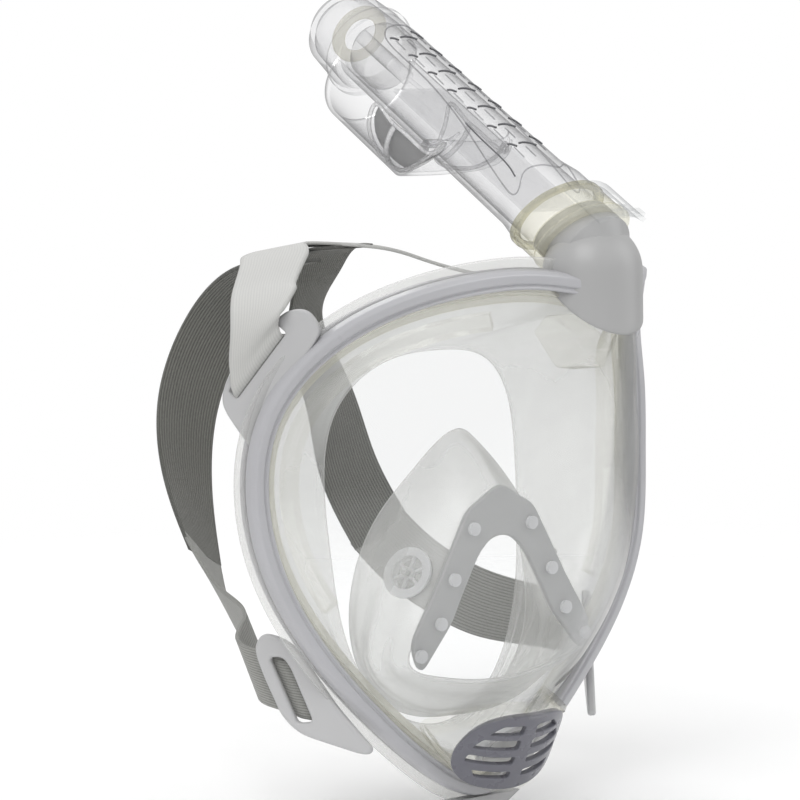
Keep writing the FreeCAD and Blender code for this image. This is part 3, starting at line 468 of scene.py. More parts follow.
gasket_section = rounded([
    (-9.6, -0.9), (-3.9, -0.9), (-3.9, 0.1), (-4.6, 2.2), (-5.6, 2.6), (-6.6, 0.6), (-9.6, 0.0),
], 0.5) * MM
gasket = rim_ring("lens_seal", gasket_section, SILICONE_CREAM)
finish_piece(gasket, "mask", "silicone_cream", "lens_gasket")

# ---------------------------------------------------------------- face skirt

OPENING = 50 * MM
SKIRT_THICK = 1.8 * MM
SKIRT_STEPS = 40
SKIRT_BULGE = 16 * MM
SKIRT_RIPPLE, SKIRT_FOLDS = 1.7 * MM, 3


def opening_loop(grow, back, shares=RIM_SHARES):
    """The face opening of the skirt, grown outwards and moved to the rear."""
    wide = OPENING + grow
    return whole_loop([
        (0, 9 * MM + back, 61 * MM + grow), (0.52 * wide, 12 * MM + back, 57 * MM + grow),
        (0.90 * wide, 19 * MM + back, 38 * MM + 0.6 * grow), (wide, 21 * MM + back, 14 * MM),
        (0.98 * wide, 19 * MM + back, -20 * MM), (0.86 * wide, 17 * MM + back, -56 * MM - 0.5 * grow),
        (0.50 * wide, 15 * MM + back, -84 * MM - grow), (0, 14 * MM + back, -94 * MM - grow),
    ])(shares)


def smooth_step(values, low, high):
    """0 below low, 1 above high, smooth between them."""
    t = np.clip((np.asarray(values, float) - low) / (high - low), 0, 1)
    return t * t * (3 - 2 * t)


def skirt_wall(offset):
    """The wall between the rim and the face opening, as loops; offset moves it to the rear."""
    start = rim_loop(-7.0 * MM + 0.4 * offset, -1.4 * MM - offset)
    end = opening_loop(offset, offset)
    bulge_start = start - RIM_FORWARD * SKIRT_BULGE - RIM_OUTWARD * 1 * MM
    bulge_end = end + (start - end) * 0.35 + np.array([0.0, 9 * MM, 0.0])
    low_down = smooth_step(-RIM_PLACE[:, 2], 20 * MM, 60 * MM)
    cheek = low_down * smooth_step(np.abs(RIM_PLACE[:, 0]), 12 * MM, 40 * MM)
    loops = []
    for t in np.linspace(0, 1, SKIRT_STEPS):
        point = ((1 - t) ** 3 * start + 3 * t * (1 - t) ** 2 * bulge_start
                 + 3 * t ** 2 * (1 - t) * bulge_end + t ** 3 * end)
        away_from_edges = float(smooth_step(t, 0.1, 0.3) * (1 - smooth_step(t, 0.8, 1)))
        ripple = SKIRT_RIPPLE * math.sin(2 * math.pi * SKIRT_FOLDS * t) * away_from_edges
        loops.append(point + np.outer(cheek * ripple, (0.0, -0.8, 0.5)))
    return loops


front_wall = skirt_wall(0.0)
rear_wall = skirt_wall(SKIRT_THICK)
lip = [opening_loop(grow * MM, back * MM) for grow, back in ((-0.9, 0.2), (-1.4, 1.3), (-0.6, 2.4))]
flange = [rim_loop(o * MM, f * MM) for o, f in (
    (3.0, -3.2), (6.6, -3.2), (7.2, -2.9), (7.4, -2.3), (7.2, -1.7), (6.6, -1.4), (3.0, -1.4))]
skirt_loops = front_wall + lip + rear_wall[::-1] + flange
skirt = grid_piece("skirt_shell", np.stack(skirt_loops, axis=1), SILICONE_CLEAR, True, True)
finish_piece(skirt, "mask", "silicone_clear", "face_skirt")

# ---------------------------------------------------------------- nose cup

CUP_STEPS = 160
CUP_SHARES = np.arange(CUP_STEPS) / CUP_STEPS
CUP_THICK = 1.8
CUP_FRONT = -25.0


def cup_front_loop(shrink):
    """The cup's edge at the clamp, made smaller by shrink in millimetres."""
    return whole_loop([(x * MM, CUP_FRONT * MM, z * MM) for x, z in (
        (0, 8 - shrink), (15 - shrink, -1), (24 - shrink, -16), (32.5 - shrink, -31), (41 - shrink, -45),
        (46 - shrink, -57), (30, -66 + shrink), (0, -70 + shrink))])(CUP_SHARES)


def cup_face_loop(shrink):
    """The cup's edge at the face, made smaller by shrink in millimetres."""
    return whole_loop([(x * MM, y * MM, z * MM) for x, y, z in (
        (0, -2, 29 - shrink), (19 - shrink, 3, 14), (35 - shrink, 8, -6), (45 - shrink, 11, -34),
        (43 - shrink, 11, -62), (25, 11, -83 + shrink), (0, 11, -88 + shrink))])(CUP_SHARES)


def cup_wall(shrink):
    """The wall between the cup's two edges, as loops, with soft folds low down."""
    start, end = cup_front_loop(shrink), cup_face_loop(shrink)
    away = unit_rows((end - np.array([0, 0, -0.03])) * np.array([1.0, 0.0, 1.0]))
    loops = []
    low = smooth_step(-end[:, 2], 0.0, 60 * MM)
    for t in np.linspace(0, 1, 34):
        bulge = 5.0 * MM * math.sin(math.pi * t) * (0.4 + 0.6 * low)
        ripple = 1.1 * MM * math.sin(2 * math.pi * 2.5 * t) * math.sin(math.pi * t) * low
        loops.append(start * (1 - t) + end * t + away * (bulge + ripple)[:, None])
    return loops


cup_outer, cup_inner = cup_wall(0.0), cup_wall(CUP_THICK)
face_bead = [cup_face_loop(0.9) + np.array([0, 0.8 * MM, 0])]
rim_bead = [cup_front_loop(shrink) + np.array([0, -forward * MM, 0])
            for shrink, forward in ((1.7, 1.0), (1.0, 1.4), (0.2, 1.0))]
cup_loops = cup_outer + face_bead + cup_inner[::-1] + rim_bead
# The cup takes the darker silicone, whose tint is painted shade.
cup = grid_piece("nose_pocket", np.stack(cup_loops, axis=1), CUP_SILICONE_SHADED, True, True)
finish_piece(cup, "mask", "silicone_clear", "nose_cup")

# ---------------------------------------------------------------- head straps

STRAP_HALF = 14 * MM
STRAP_HALF_THICK = 0.75 * MM
STRAP_COLUMNS = 16
UPPER_STEPS, LOWER_STEPS = 420, 160
INNER_FACE_SHIFT = 0.1


def ribbon(name, left_edge, right_edge, length_steps, materials, thickness=STRAP_HALF_THICK):
    """Webbing between two edge curves: outer face first, inner face second, both in materials."""
    shares = np.linspace(0, 1, length_steps)
    left, right = open_curve(left_edge)(shares), open_curve(right_edge)(shares)
    centre = (left + right) / 2
    along = np.gradient(centre, axis=0)
    normal = unit_rows(np.cross(along, right - left))
    lengths = chord_knots(centre)
    section = [(k / STRAP_COLUMNS, 1.0) for k in range(STRAP_COLUMNS + 1)]
    section += [((STRAP_COLUMNS - k) / STRAP_COLUMNS, -1.0) for k in range(STRAP_COLUMNS + 1)]
    columns, uvs = [], []
    for share, face in section:
        columns.append(left * (1 - share) + right * share + normal * (face * thickness))
    grid = np.stack(columns, axis=1)
    width = np.linalg.norm(right - left, axis=1)
    for i in range(length_steps):
        for share, face in section:
            uvs.append((lengths[i], share * width.mean() + (0.0 if face > 0 else INNER_FACE_SHIFT)))
    faces = grid_faces(length_steps, len(section), False, True)
    slots = [0 if (f[0] % len(section)) < STRAP_COLUMNS else 1 for f in faces]
    count = len(section)
    for start in (0, (length_steps - 1) * count):
        for k in range(STRAP_COLUMNS):
            a, b = start + k, start + k + 1
            c, d = start + count - 2 - k, start + count - 1 - k
            faces.append((a, b, c, d))
            slots.append(1)
    return mesh_piece(name, grid.reshape(-1, 3), faces, materials, uvs, slots)


def edges_of(stations, half=STRAP_HALF):
    """The two edges of webbing given by (centre, direction across) stations in millimetres."""
    centres = np.array([c for c, _ in stations], float) * MM
    across = np.array([w for _, w in stations], float)
    along = unit_rows(np.gradient(centres, axis=0))
    across = unit_rows(across - along * np.sum(across * along, axis=1)[:, None])
    return centres - across * half, centres + across * half


# Each buckle's plane faces forward and to its own side.
SPLAY = math.radians(52)
UPPER_ORIGIN = Vector((88.1, -3.3, 57.6)) * MM
LOWER_ORIGIN = Vector((69.7, 3.9, -68.6)) * MM
BUCKLE_THICK = 3.4 * MM


def buckle_point(origin, side, x, y, height):
    """A point on a buckle's plane in millimetres: x towards the lens, y up, height off its back face."""
    towards = Vector((-side * math.cos(SPLAY), -math.sin(SPLAY), 0))
    facing = Vector((side * math.sin(SPLAY), -math.cos(SPLAY), 0))
    base = Vector((side * origin.x, origin.y, origin.z))
    return base + towards * (x * MM) + Vector((0, 0, y * MM)) + facing * (height * MM)


# The ends of each slot on the buckle's plane, where the edges of the webbing pass.
UPPER_SLOT_ENDS = ((-15.9, -8.8), (3.2, 15.2))
LOWER_SLOT_ENDS = ((-12.8, 12.4), (-2.2, -11.6))

# Webbing stations on the wearer's left, in millimetres: centre, and the direction across the webbing.
# The lower webbing starts a little lower on the right, where the upper webbing lies flatter.
LOWER_STRAP_TOP = {
    1: [((13, 90, 99), (1, 0.05, 0)), ((14, 104, 97), (1, 0.1, 0))],
    -1: [((13, 90, 94), (1, 0.05, 0)), ((14, 104, 92), (1, 0.1, 0))],
}
LOWER_STRAP = [
    ((17, 117, 84), (0.95, 0.25, 0.1)), ((24.5, 137, 61), (0.86, 0.35, 0.25)),
    ((37, 138, 32), (0.93, 0.15, 0.25)),
    ((42, 132, 2), (0.9, -0.1, 0.35)), ((47, 112, -30), (0.75, -0.3, 0.55)),
]
LOWER_END = [
    ((46, 117, -25), (0.78, -0.28, 0.5)), ((51, 99, -39.5), (0.62, -0.28, 0.68)),
    ((56, 78, -49.5), (0.5, -0.2, 0.8)), ((64, 50, -57), (0.42, 0.0, 0.9)),
]
# Both edges of the upper webbing from the middle of the head to each buckle, x counted outwards. The
# wearer's left half bows out a little further than the right half.
UPPER_LOW = {
    -1: [(0, 125.8, 97.5), (27.8, 106.6, 95.6), (53.3, 71.4, 93.6), (78.5, 38.9, 86.3), (94, 17.8, 78.4),
         (101.5, 7.1, 67)],
    1: [(0, 125.8, 97.5), (30.5, 110.6, 99.2), (51.5, 104, 95.6), (66.5, 103.5, 91), (82, 88, 85),
        (95, 50, 78), (102, 18, 64)],
}
UPPER_HIGH = {
    -1: [(0, 98.2, 101), (10.2, 85.4, 100.4), (30, 58, 96.6), (62, 20, 88.5), (84, -8, 85.3), (91, -12, 80)],
    1: [(0, 98.2, 101), (14, 88, 100), (35, 82, 96.6), (50, 82.5, 92.2), (63, 71, 87), (74, 40, 85),
        (85, 10, 82), (91.5, -5, 77)],
}


def upper_path(side):
    """Edges of the upper strap from the middle of the head to its end in the buckle's slot."""
    low_edge = [(side * x * MM, y * MM, z * MM) for x, y, z in UPPER_LOW[side]]
    high_edge = [(side * x * MM, y * MM, z * MM) for x, y, z in UPPER_HIGH[side]]
    over_the_bar = ((2.0, 4.9), (0.0, 4.4), (-1.3, 3.0), (-1.9, 0.8), (-2.1, -2.5))
    for rise, height in over_the_bar:
        for edge, (x, y) in ((low_edge, UPPER_SLOT_ENDS[0]), (high_edge, UPPER_SLOT_ENDS[1])):
            edge.append(tuple(buckle_point(UPPER_ORIGIN, side, x - 0.2 * rise, y + 0.98 * rise, height)))
    return low_edge, high_edge


upper_low, upper_high = upper_path(1)
mirror_low, mirror_high = upper_path(-1)
upper = ribbon("upper_webbing", mirror_low[:0:-1] + upper_low, mirror_high[:0:-1] + upper_high,
               UPPER_STEPS, [WEB_DARK, WEB_LIGHT])
finish_piece(upper, "mask", "webbing", "upper_strap")

for side, word in SIDES:
    mirror = np.array([side, 1, 1])
    low_edge, high_edge = (edge * mirror for edge in edges_of(LOWER_STRAP_TOP[side] + LOWER_STRAP))
    lower = ribbon("lower_webbing_" + word, low_edge, high_edge, LOWER_STEPS, [WEB_DARK, WEB_DARK])
    finish_piece(lower, "mask", "webbing", "lower_strap")


def lower_end_path(side):
    """Edges of the lower strap's sewn-on end, which runs behind its buckle's outer bar."""
    low_edge, high_edge = edges_of(LOWER_END)
    low_edge = [(side * x, y, z) for x, y, z in low_edge]
    high_edge = [(side * x, y, z) for x, y, z in high_edge]
    behind_the_bar = ((16.0, -3.0), (10.0, -2.6), (5.0, -2.0), (0.5, -0.4), (-2.5, -1.2), (-5.0, -2.6))
    for out, height in behind_the_bar:
        for edge, (x, y) in ((high_edge, LOWER_SLOT_ENDS[0]), (low_edge, LOWER_SLOT_ENDS[1])):
            edge.append(tuple(buckle_point(LOWER_ORIGIN, side, x - 0.95 * out, y + 0.25 * out, height)))
    return low_edge, high_edge


for side, word in SIDES:
    low_edge, high_edge = lower_end_path(side)
    end = ribbon("lower_webbing_end_" + word, low_edge, high_edge, LOWER_STEPS, [WEB_MID, WEB_MID])
    finish_piece(end, "mask", "webbing")

# ---------------------------------------------------------------- buckles and clamp, as plates


def slice_upright(mesh, places):
    """Cuts a flat mesh into strips so that it can be bent."""
    shape = bmesh.new()
    shape.from_mesh(mesh)
    for x in places:
        everything = shape.verts[:] + shape.edges[:] + shape.faces[:]
        bmesh.ops.bisect_plane(shape, geom=everything, dist=1e-5, plane_co=(x, 0, 0), plane_no=(1, 0, 0))
    shape.to_mesh(mesh)
    shape.free()


def plate_piece(name, outlines, thickness, edge, material, place, strips=()):
    """A plate with rounded edges: the first outline is its rim and the others are holes in it.
    place turns (x, y, height) into a point; a plate that place bends is cut into strips first."""
    flat = bpy.data.curves.new(name, "CURVE")
    flat.dimensions = "2D"
    flat.fill_mode = "BOTH"
    flat.extrude = thickness / 2 - edge
    flat.bevel_depth = edge
    flat.bevel_resolution = 3
    flat.offset = -edge
    for outline in outlines:
        spline = flat.splines.new("POLY")
        spline.points.add(len(outline) - 1)
        for point, (x, y) in zip(spline.points, outline):
            point.co = (x, y, 0, 1)
        spline.use_cyclic_u = True
    holder = bpy.data.objects.new(name + "_outline", flat)
    mesh = bpy.data.meshes.new_from_object(holder)
    bpy.data.objects.remove(holder)
    slice_upright(mesh, strips)
    for vertex in mesh.vertices:
        x, y, height = vertex.co
        vertex.co = place(x, y, height + thickness / 2)
    mesh.materials.clear()
    mesh.materials.append(material)
    mesh.name = name
    piece = bpy.data.objects.new(name, mesh)
    bpy.context.scene.collection.objects.link(piece)
    mesh.shade_smooth()
    piece.modifiers.new("Normals", "WEIGHTED_NORMAL").keep_sharp = False
    return piece


UPPER_BUCKLE = [(4, 22), (10, 23.6), (14.7, 22), (18.5, 16), (18, 13), (7.3, -2.4), (-0.8, -17.3),
                (-6.9, -31.5), (-8.4, -31.5), (-14.5, -23.4), (-20.4, -14.6), (-20.9, -9), (-17.8, -1)]
UPPER_SLOT = [(5.3, 14.3), (1.9, 17.1), (-18.1, -7.9), (-14.7, -10.7)]
LOWER_BUCKLE = [(-21.8, 17), (-19.9, 21), (-16.8, 22.3), (-9.9, 20.2), (-4.9, 16.8), (2.6, 6.2), (11.3, -6.3),
                (20.7, -16.9), (25, -21.5), (24.4, -23.8), (20.7, -24.2), (8.2, -20.7), (-2.4, -17.6),
                (-7.4, -14.4), (-11.8, -9.5), (-14.3, -3.8), (-18, 4.3), (-21.1, 12.4)]
LOWER_SLOT = [(-16, 13), (-10.4, 13), (-7.4, 8.7), (1.3, -12), (-4.9, -12.8)]


def buckle_piece(name, origin, side, outline, slot_outline, corner, slot_corner, edge):
    """A buckle plate with one slot, on its own plane; sizes in millimetres."""
    outlines = [rounded(outline, corner, 6), rounded(slot_outline, slot_corner, 6)]

    def place(x, y, height):
        return buckle_point(origin, side, x, y, height)

    return plate_piece(name, outlines, BUCKLE_THICK / MM, edge, BUCKLE_GREY, place)


for side, word in SIDES:
    for level, origin, outline, slot, corner, slot_corner, edge in (
            ("upper", UPPER_ORIGIN, UPPER_BUCKLE, UPPER_SLOT, 5, 1.2, 0.5),
            ("lower", LOWER_ORIGIN, LOWER_BUCKLE, LOWER_SLOT, 4, 2.2, 1.1)):
        node = "%s_buckle_%s" % (level, word)
        piece = buckle_piece(node + "_moulding", origin, side, outline, slot, corner, slot_corner, edge)
        finish_piece(piece, "mask", "frame_grey", node)

CLAMP_BACK, CLAMP_THICK, CLAMP_EDGE = -26.4, 2.6, 0.8
CLAMP_OUTLINE = [(0, 9.5), (9, 4), (16.5, 0), (25, -15.5), (33.5, -31), (41, -43), (45, -50), (42.4, -59.1),
                 (39.4, -60.6), (34, -54), (25.5, -44), (21, -35), (15.5, -25), (11.5, -18), (6, -12.5),
                 (0, -11)]


def both_halves(outline):
    """An outline from one half of it, whose first and last points are on the middle line."""
    return outline + [(-x, y) for x, y in outline[-2:0:-1]]


def clamp_place(x, y, height):
    """A point on the clamp's upright plane."""
    return Vector((x, CLAMP_BACK - height, y)) * MM


clamp_rim = rounded(both_halves(CLAMP_OUTLINE), 5, 5)
clamp = plate_piece("cup_clamp_moulding", [clamp_rim], CLAMP_THICK, CLAMP_EDGE, CLAMP_GREY, clamp_place)
finish_piece(clamp, "mask", "clamp_grey", "cup_clamp")

# ---------------------------------------------------------------- raised ribs on the snorkel

TUBE_TILT = math.radians(30.5)
SOCKET = Vector((0, -64.8, 114.2)) * MM
TUBE_AXIS = Vector((0, math.cos(TUBE_TILT), math.sin(TUBE_TILT)))
TUBE_SIDE = Vector((-1, 0, 0))
TUBE_TOP = TUBE_AXIS.cross(TUBE_SIDE)
TUBE_LENGTH = 133.0
TUBE_FOOT_RADIUS, TUBE_TIP_RADIUS = 16.4, 15.8


def tube_point(turn, along, lift=0.0):
    """A point on the tube: turn in degrees from the wearer's right over the top, along in millimetres."""
    radius = TUBE_FOOT_RADIUS + (TUBE_TIP_RADIUS - TUBE_FOOT_RADIUS) * along / TUBE_LENGTH + lift
    angle = math.radians(turn)
    spoke = TUBE_SIDE * math.cos(angle) + TUBE_TOP * math.sin(angle)
    return SOCKET + (TUBE_AXIS * along + spoke * radius) * MM


def round_bar(name, path, material, radius, closed):
    """A bar of round section along points in metres; the radius is in millimetres."""
    line = bpy.data.curves.new(name, "CURVE")
    line.dimensions = "3D"
    line.bevel_depth = radius * MM
    line.bevel_resolution = 2
    spline = line.splines.new("POLY")
    spline.points.add(len(path) - 1)
    for point, place in zip(spline.points, path):
        point.co = (*place, 1)
    spline.use_cyclic_u = closed
    holder = bpy.data.objects.new(name + "_line", line)
    mesh = bpy.data.meshes.new_from_object(holder)
    bpy.data.objects.remove(holder)
    mesh.materials.clear()
    mesh.materials.append(material)
    mesh.shade_smooth()
    piece = bpy.data.objects.new(name, mesh)
    bpy.context.scene.collection.objects.link(piece)
    return piece


def rib(name, path, material, radius, closed):
    """A raised half-round rib along (turn, along) points on the tube."""
    return round_bar(name, [tube_point(turn, along, 0.05) for turn, along in path], material, radius, closed)


def smooth_path(path, closed):
    """A finer path through (turn, along) points that follows the tube's curve."""
    points = [np.array([turn, along], float) for turn, along in path]
    shares = np.linspace(0, 1, 16 * len(points) + 1)
    return closed_curve(points)(shares[:-1]) if closed else open_curve(points)(shares)


# The raised panel's edge on the wearer's right, as (turn, along).
PANEL_EDGE = [(78, 10), (62, 12.5), (46, 13), (34, 11), (22, 8.8), (12, 11), (15, 19), (27, 37), (38, 54),
              (46, 72), (50, 95), (54, 116), (66, 121)]
STROKE_ROWS, FIRST_ROW, ROW_STEP = 7, 115.0, 14.2
STROKES = ((58, 66, 0), (72, 94, 2.0), (100, 118, -2.0))
STROKE_RADIUS, LEG_RADIUS = 0.42, 0.25

far_edge = [(180 - turn, along) for turn, along in reversed(PANEL_EDGE)]
outline = smooth_path(PANEL_EDGE + [(90, 122)] + far_edge + [(90, 8)], True)
finish_piece(rib("panel_outline", outline, RIB_CLEAR, 0.3, True), "snorkel", "tube_clear")

for row in range(STROKE_ROWS):
    for part, (from_turn, to_turn, shift) in enumerate(STROKES):
        start = FIRST_ROW - ROW_STEP * row - shift
        middle = (from_turn + to_turn) / 2
        arc = smooth_path([(from_turn, start), (middle, start - 0.8), (to_turn, start - 3.2)], False)
        piece = rib("panel_stroke_%d_%d" % (row, part), arc, RIB_DARK, STROKE_RADIUS, False)
        finish_piece(piece, "snorkel", "tube_clear")
        leg = smooth_path([(from_turn + 4, start - 3), (from_turn + 3, start - 10.5)], False)
        piece = rib("panel_leg_%d_%d" % (row, part), leg, RIB_CLEAR, LEG_RADIUS, False)
        finish_piece(piece, "snorkel", "tube_clear")

long_stroke = smooth_path([(41, 52), (39, 36), (37, 20), (33, 14.5)], False)
finish_piece(rib("panel_long_stroke", long_stroke, RIB_DARK, 0.32, False), "snorkel", "tube_clear")

# ---------------------------------------------------------------- water chamber under the snorkel's tip

CHAMBER_FROM, CHAMBER_TO = 54.0, 130.0
CHAMBER_RADIUS, CHAMBER_DROP = 19.5, 12.5
CHAMBER_RISE, CHAMBER_ROUNDING = 28.0, 5.0
CHAMBER_INNER_RADIUS = 14
CHAMBER_THICK = 1.4 * MM
SCREEN_INSET = 2.2
WALL_FIRST_TURN, WALL_LAST_TURN = -205, 25


def chamber_start(turn):
    """Where the wall leaves the tube: lowest along both sides, highest underneath."""
    across = (WALL_LAST_TURN - turn) / (WALL_LAST_TURN - WALL_FIRST_TURN)
    share = math.sin(math.pi * min(1.0, max(0.0, across)))
    return CHAMBER_FROM + CHAMBER_RISE * share ** 1.8


def chamber_point(turn, along, inset=0.0):
    """A point on the chamber, whose lower end is rounded off into the tube."""
    angle = math.radians(turn)
    swell = 1 - min(1.0, max(0.0, along - chamber_start(turn)) / CHAMBER_ROUNDING)
    full = math.sqrt(max(0.0, 1 - swell ** 2))
    radius = CHAMBER_INNER_RADIUS + (CHAMBER_RADIUS - CHAMBER_INNER_RADIUS) * full - inset
    rise = math.sin(angle) * radius - CHAMBER_DROP * full
    spoke = TUBE_SIDE * (math.cos(angle) * radius) + TUBE_TOP * rise
    return SOCKET + (TUBE_AXIS * along + spoke) * MM


wall = []
for share in np.linspace(0, 1, 50) ** 1.8:
    row = []
    for turn in np.linspace(WALL_FIRST_TURN, WALL_LAST_TURN, 70):
        start = chamber_start(turn)
        row.append(chamber_point(turn, start + (CHAMBER_TO - start) * share))
    wall.append(row)
chamber = grid_piece("chamber_shell", np.array(wall), TUBE_CLEAR)
thick = chamber.modifiers.new("Thickness", "SOLIDIFY")
thick.thickness = CHAMBER_THICK
thick.offset = -1
finish_piece(chamber, "snorkel", "tube_clear", "float_chamber")

# The round side of the D-shaped opening, as (along, turn); its straight side is at STRAIGHT_TURN.
OPENING_EDGE = [(56, 9), (59, -2), (64, -14), (70, -27), (78, -41), (86, -50), (92, -45), (96, -26), (99, 2)]
STRAIGHT_TURN = 14


def opening_turn(along):
    """Where the opening's round side is at this place along the chamber."""
    places, turns = zip(*OPENING_EDGE)
    return float(np.interp(along, places, turns))


def to_side(turn, side):
    """The turn for the wearer's right, or the same one mirrored to the left."""
    return turn if side > 0 else -180 - turn


for side, word in ((1, "right"), (-1, "left")):
    rows = []
    for along in np.linspace(56.3, 98.7, 40):
        edge_turn = opening_turn(along)
        turns = STRAIGHT_TURN + (edge_turn - STRAIGHT_TURN) * np.linspace(0, 1, 16)
        rows.append([chamber_point(to_side(turn, side), along, SCREEN_INSET) for turn in turns])
    screen = grid_piece("chamber_screen_" + word, np.array(rows), SCREEN_GREY)
    finish_piece(screen, "snorkel", "tube_clear")
    border = [chamber_point(to_side(turn, side), along) for along, turn in OPENING_EDGE]
    border = [chamber_point(to_side(STRAIGHT_TURN, side), 56)] + border
    border += [chamber_point(to_side(STRAIGHT_TURN, side), along) for along in (99, 88, 78, 67)]
    path = [tuple(p) for p in closed_curve(border)(np.arange(96) / 96)]
    finish_piece(round_bar("chamber_rim_" + word, path, RIM_CLEAR, 0.9, True), "snorkel", "tube_clear")
    strut = [chamber_point(to_side(turn, side), 84 - 0.05 * turn, 0.3) for turn in np.linspace(14, -49, 14)]
    finish_piece(round_bar("chamber_strut_" + word, strut, RIM_CLEAR, 1.1, False), "snorkel", "tube_clear")

# ---------------------------------------------------------------- vent grille

VENT_CENTRE = Vector((0, -39.5, -95)) * MM
VENT_FACING = Vector((0, -0.88, -0.47)).normalized()
VENT_UP = VENT_FACING.cross(Vector((1, 0, 0)))
VENT_CURVE = 38.0
GRILLE_THICK, GRILLE_EDGE, GRILLE_LIFT = 2.6, 0.5, 0.9
GRILLE_OUTLINE = [(0, 17.6), (11, 17), (20, 13), (26, 5.5), (29.4, -3.5), (28.4, -11), (22, -16), (12, -18),
                  (0, -18.6)]
GRILLE_SLOTS = [
    [(3, 12.6), (12.5, 12.0), (17.5, 7.6), (3, 8.2)],
    [(3, 5.6), (19, 5.0), (22.5, 0.4), (3, 1.0)],
    [(3, -2.6), (23, -3.0), (24, -6.4), (3, -6.0)],
    [(3, -9.6), (20, -9.8), (18, -12.8), (3, -12.8)],
]


def grille_place(x, y, height):
    """A point on the grille, bent round the chin."""
    bend = x / VENT_CURVE
    radius = VENT_CURVE + height - 2.4
    ahead = radius * math.cos(bend) - VENT_CURVE + GRILLE_LIFT
    return VENT_CENTRE + (Vector((radius * math.sin(bend), 0, 0)) + VENT_UP * y + VENT_FACING * ahead) * MM


slots = [rounded(slot, 1.2, 4) for slot in GRILLE_SLOTS]
slots += [np.array([(-x, y) for x, y in slot]) for slot in slots]
grille = plate_piece("grille_moulding", [rounded(both_halves(GRILLE_OUTLINE), 5, 6)] + slots, GRILLE_THICK,
                     GRILLE_EDGE, GRILLE_GREY, grille_place, np.arange(-28, 29, 2.0))
finish_piece(grille, "mask", "grille_dark", "vent_grille")

# ---------------------------------------------------------------- pod cover and duct elbow

POD_CENTRE = Vector((0, -85, 93.6)) * MM
POD_RADIUS = 18.7 * MM
POD_COLUMNS = 96
POD_SKIRT = (4, 8, 12, 16, 20, 24, 28, 32, 36)
POD_THICK, POD_EDGE = 1.6 * MM, 0.5 * MM
SEAL_TILT, SLOPE_TILT = math.radians(50), math.radians(38.7)


def pod_cover():
    """The domed cover, cut square to the snorkel's seal above and on a slope below."""
    rings = [(POD_RADIUS * math.sin(t), POD_RADIUS * math.cos(t)) for t in np.linspace(0.02, math.pi / 2, 24)]
    rings += [(POD_RADIUS, -drop * MM) for drop in POD_SKIRT]
    grid = np.array([
        [POD_CENTRE + Vector((radius * math.cos(turn), radius * math.sin(turn), height))
         for turn in np.linspace(0, 2 * math.pi, POD_COLUMNS, endpoint=False)]
        for radius, height in rings
    ])
    piece = grid_piece("pod_cover", grid, POD_GREY, wrap_columns=True)
    shape = bmesh.new()
    shape.from_mesh(piece.data)
    seal = Vector((0, math.cos(SEAL_TILT), math.sin(SEAL_TILT)))
    slope = Vector((0, -math.sin(SLOPE_TILT), math.cos(SLOPE_TILT)))
    cuts = ((SOCKET - seal * 17 * MM, seal), (Vector((0, -103.7, 70.5)) * MM, -slope))
    for point, normal in cuts:
        everything = shape.verts[:] + shape.edges[:] + shape.faces[:]
        bmesh.ops.bisect_plane(shape, geom=everything, plane_co=point, plane_no=normal, clear_outer=True)
    shape.to_mesh(piece.data)
    shape.free()
    shell = piece.modifiers.new("Shell", "SOLIDIFY")
    shell.thickness = POD_THICK
    shell.offset = -1
    bevel = piece.modifiers.new("Edges", "BEVEL")
    bevel.width = POD_EDGE
    bevel.segments = 3
    bevel.limit_method = "ANGLE"
    piece.data.shade_smooth()
    return piece


finish_piece(pod_cover(), "mask", "pod_grey")

# The elbow's outline on the middle plane, as (y, z).
ELBOW = [(-66, 77), (-58, 70), (-65, 63), (-71, 57), (-83, 57), (-88, 64), (-80, 71)]
ELBOW_WIDTH, ELBOW_EDGE = 14.0, 0.8


def elbow_place(y, z, across):
    """A point of the elbow, centred on the middle plane."""
    return Vector((across - ELBOW_WIDTH / 2, y, z)) * MM


elbow = plate_piece("duct_elbow", [rounded(ELBOW, 1.5, 4)], ELBOW_WIDTH, ELBOW_EDGE, DUCT_CLEAR, elbow_place)
finish_piece(elbow, "mask", "collar_cream", "duct_box")

# ---------------------------------------------------------------- stage, light and camera

FLOOR_HALF = 1.2
DARK_GAPS = ((0.95, -0.3, 0.22, 0.75), (-0.98, 0.15, 0.25, 0.6), (0.2, -0.98, 0.12, 0.5))
CAMERA_AZIMUTH, CAMERA_ELEVATION, CAMERA_ROLL = math.radians(-37), math.radians(5), math.radians(-1)
CAMERA_DISTANCE, CAMERA_LENS = 1.2, 132.3


def fading_floor():
    """A pale floor that fades into the white surroundings away from the object."""
    material, tree = new_tree("floor")
    place = add(tree, "ShaderNodeTexCoord").outputs["Object"]
    distance = add(tree, "ShaderNodeVectorMath", {0: place}, operation="LENGTH").outputs["Value"]
    reach = {"Value": distance, "From Min": 0.3, "From Max": 0.9}
    share = add(tree, "ShaderNodeMapRange", reach, interpolation_type="SMOOTHSTEP").outputs[0]
    pale = mix_colour(tree, noise(tree, 12.0), colour(0.93, 0.93, 0.93), colour(0.95, 0.95, 0.95))
    body = add(tree, "ShaderNodeBsdfDiffuse", {"Color": pale}).outputs[0]
    clear = add(tree, "ShaderNodeBsdfTransparent").outputs[0]
    output(tree, mix_shader(tree, share, body, clear))
    corners = [(x * FLOOR_HALF, y * FLOOR_HALF, 0) for x, y in ((-1, -1), (1, -1), (1, 1), (-1, 1))]
    floor = mesh_piece("floor", corners, [(0, 1, 2, 3)], material)
    floor.location = (0, 0.02, cad_box[0].z - 0.5 * MM)


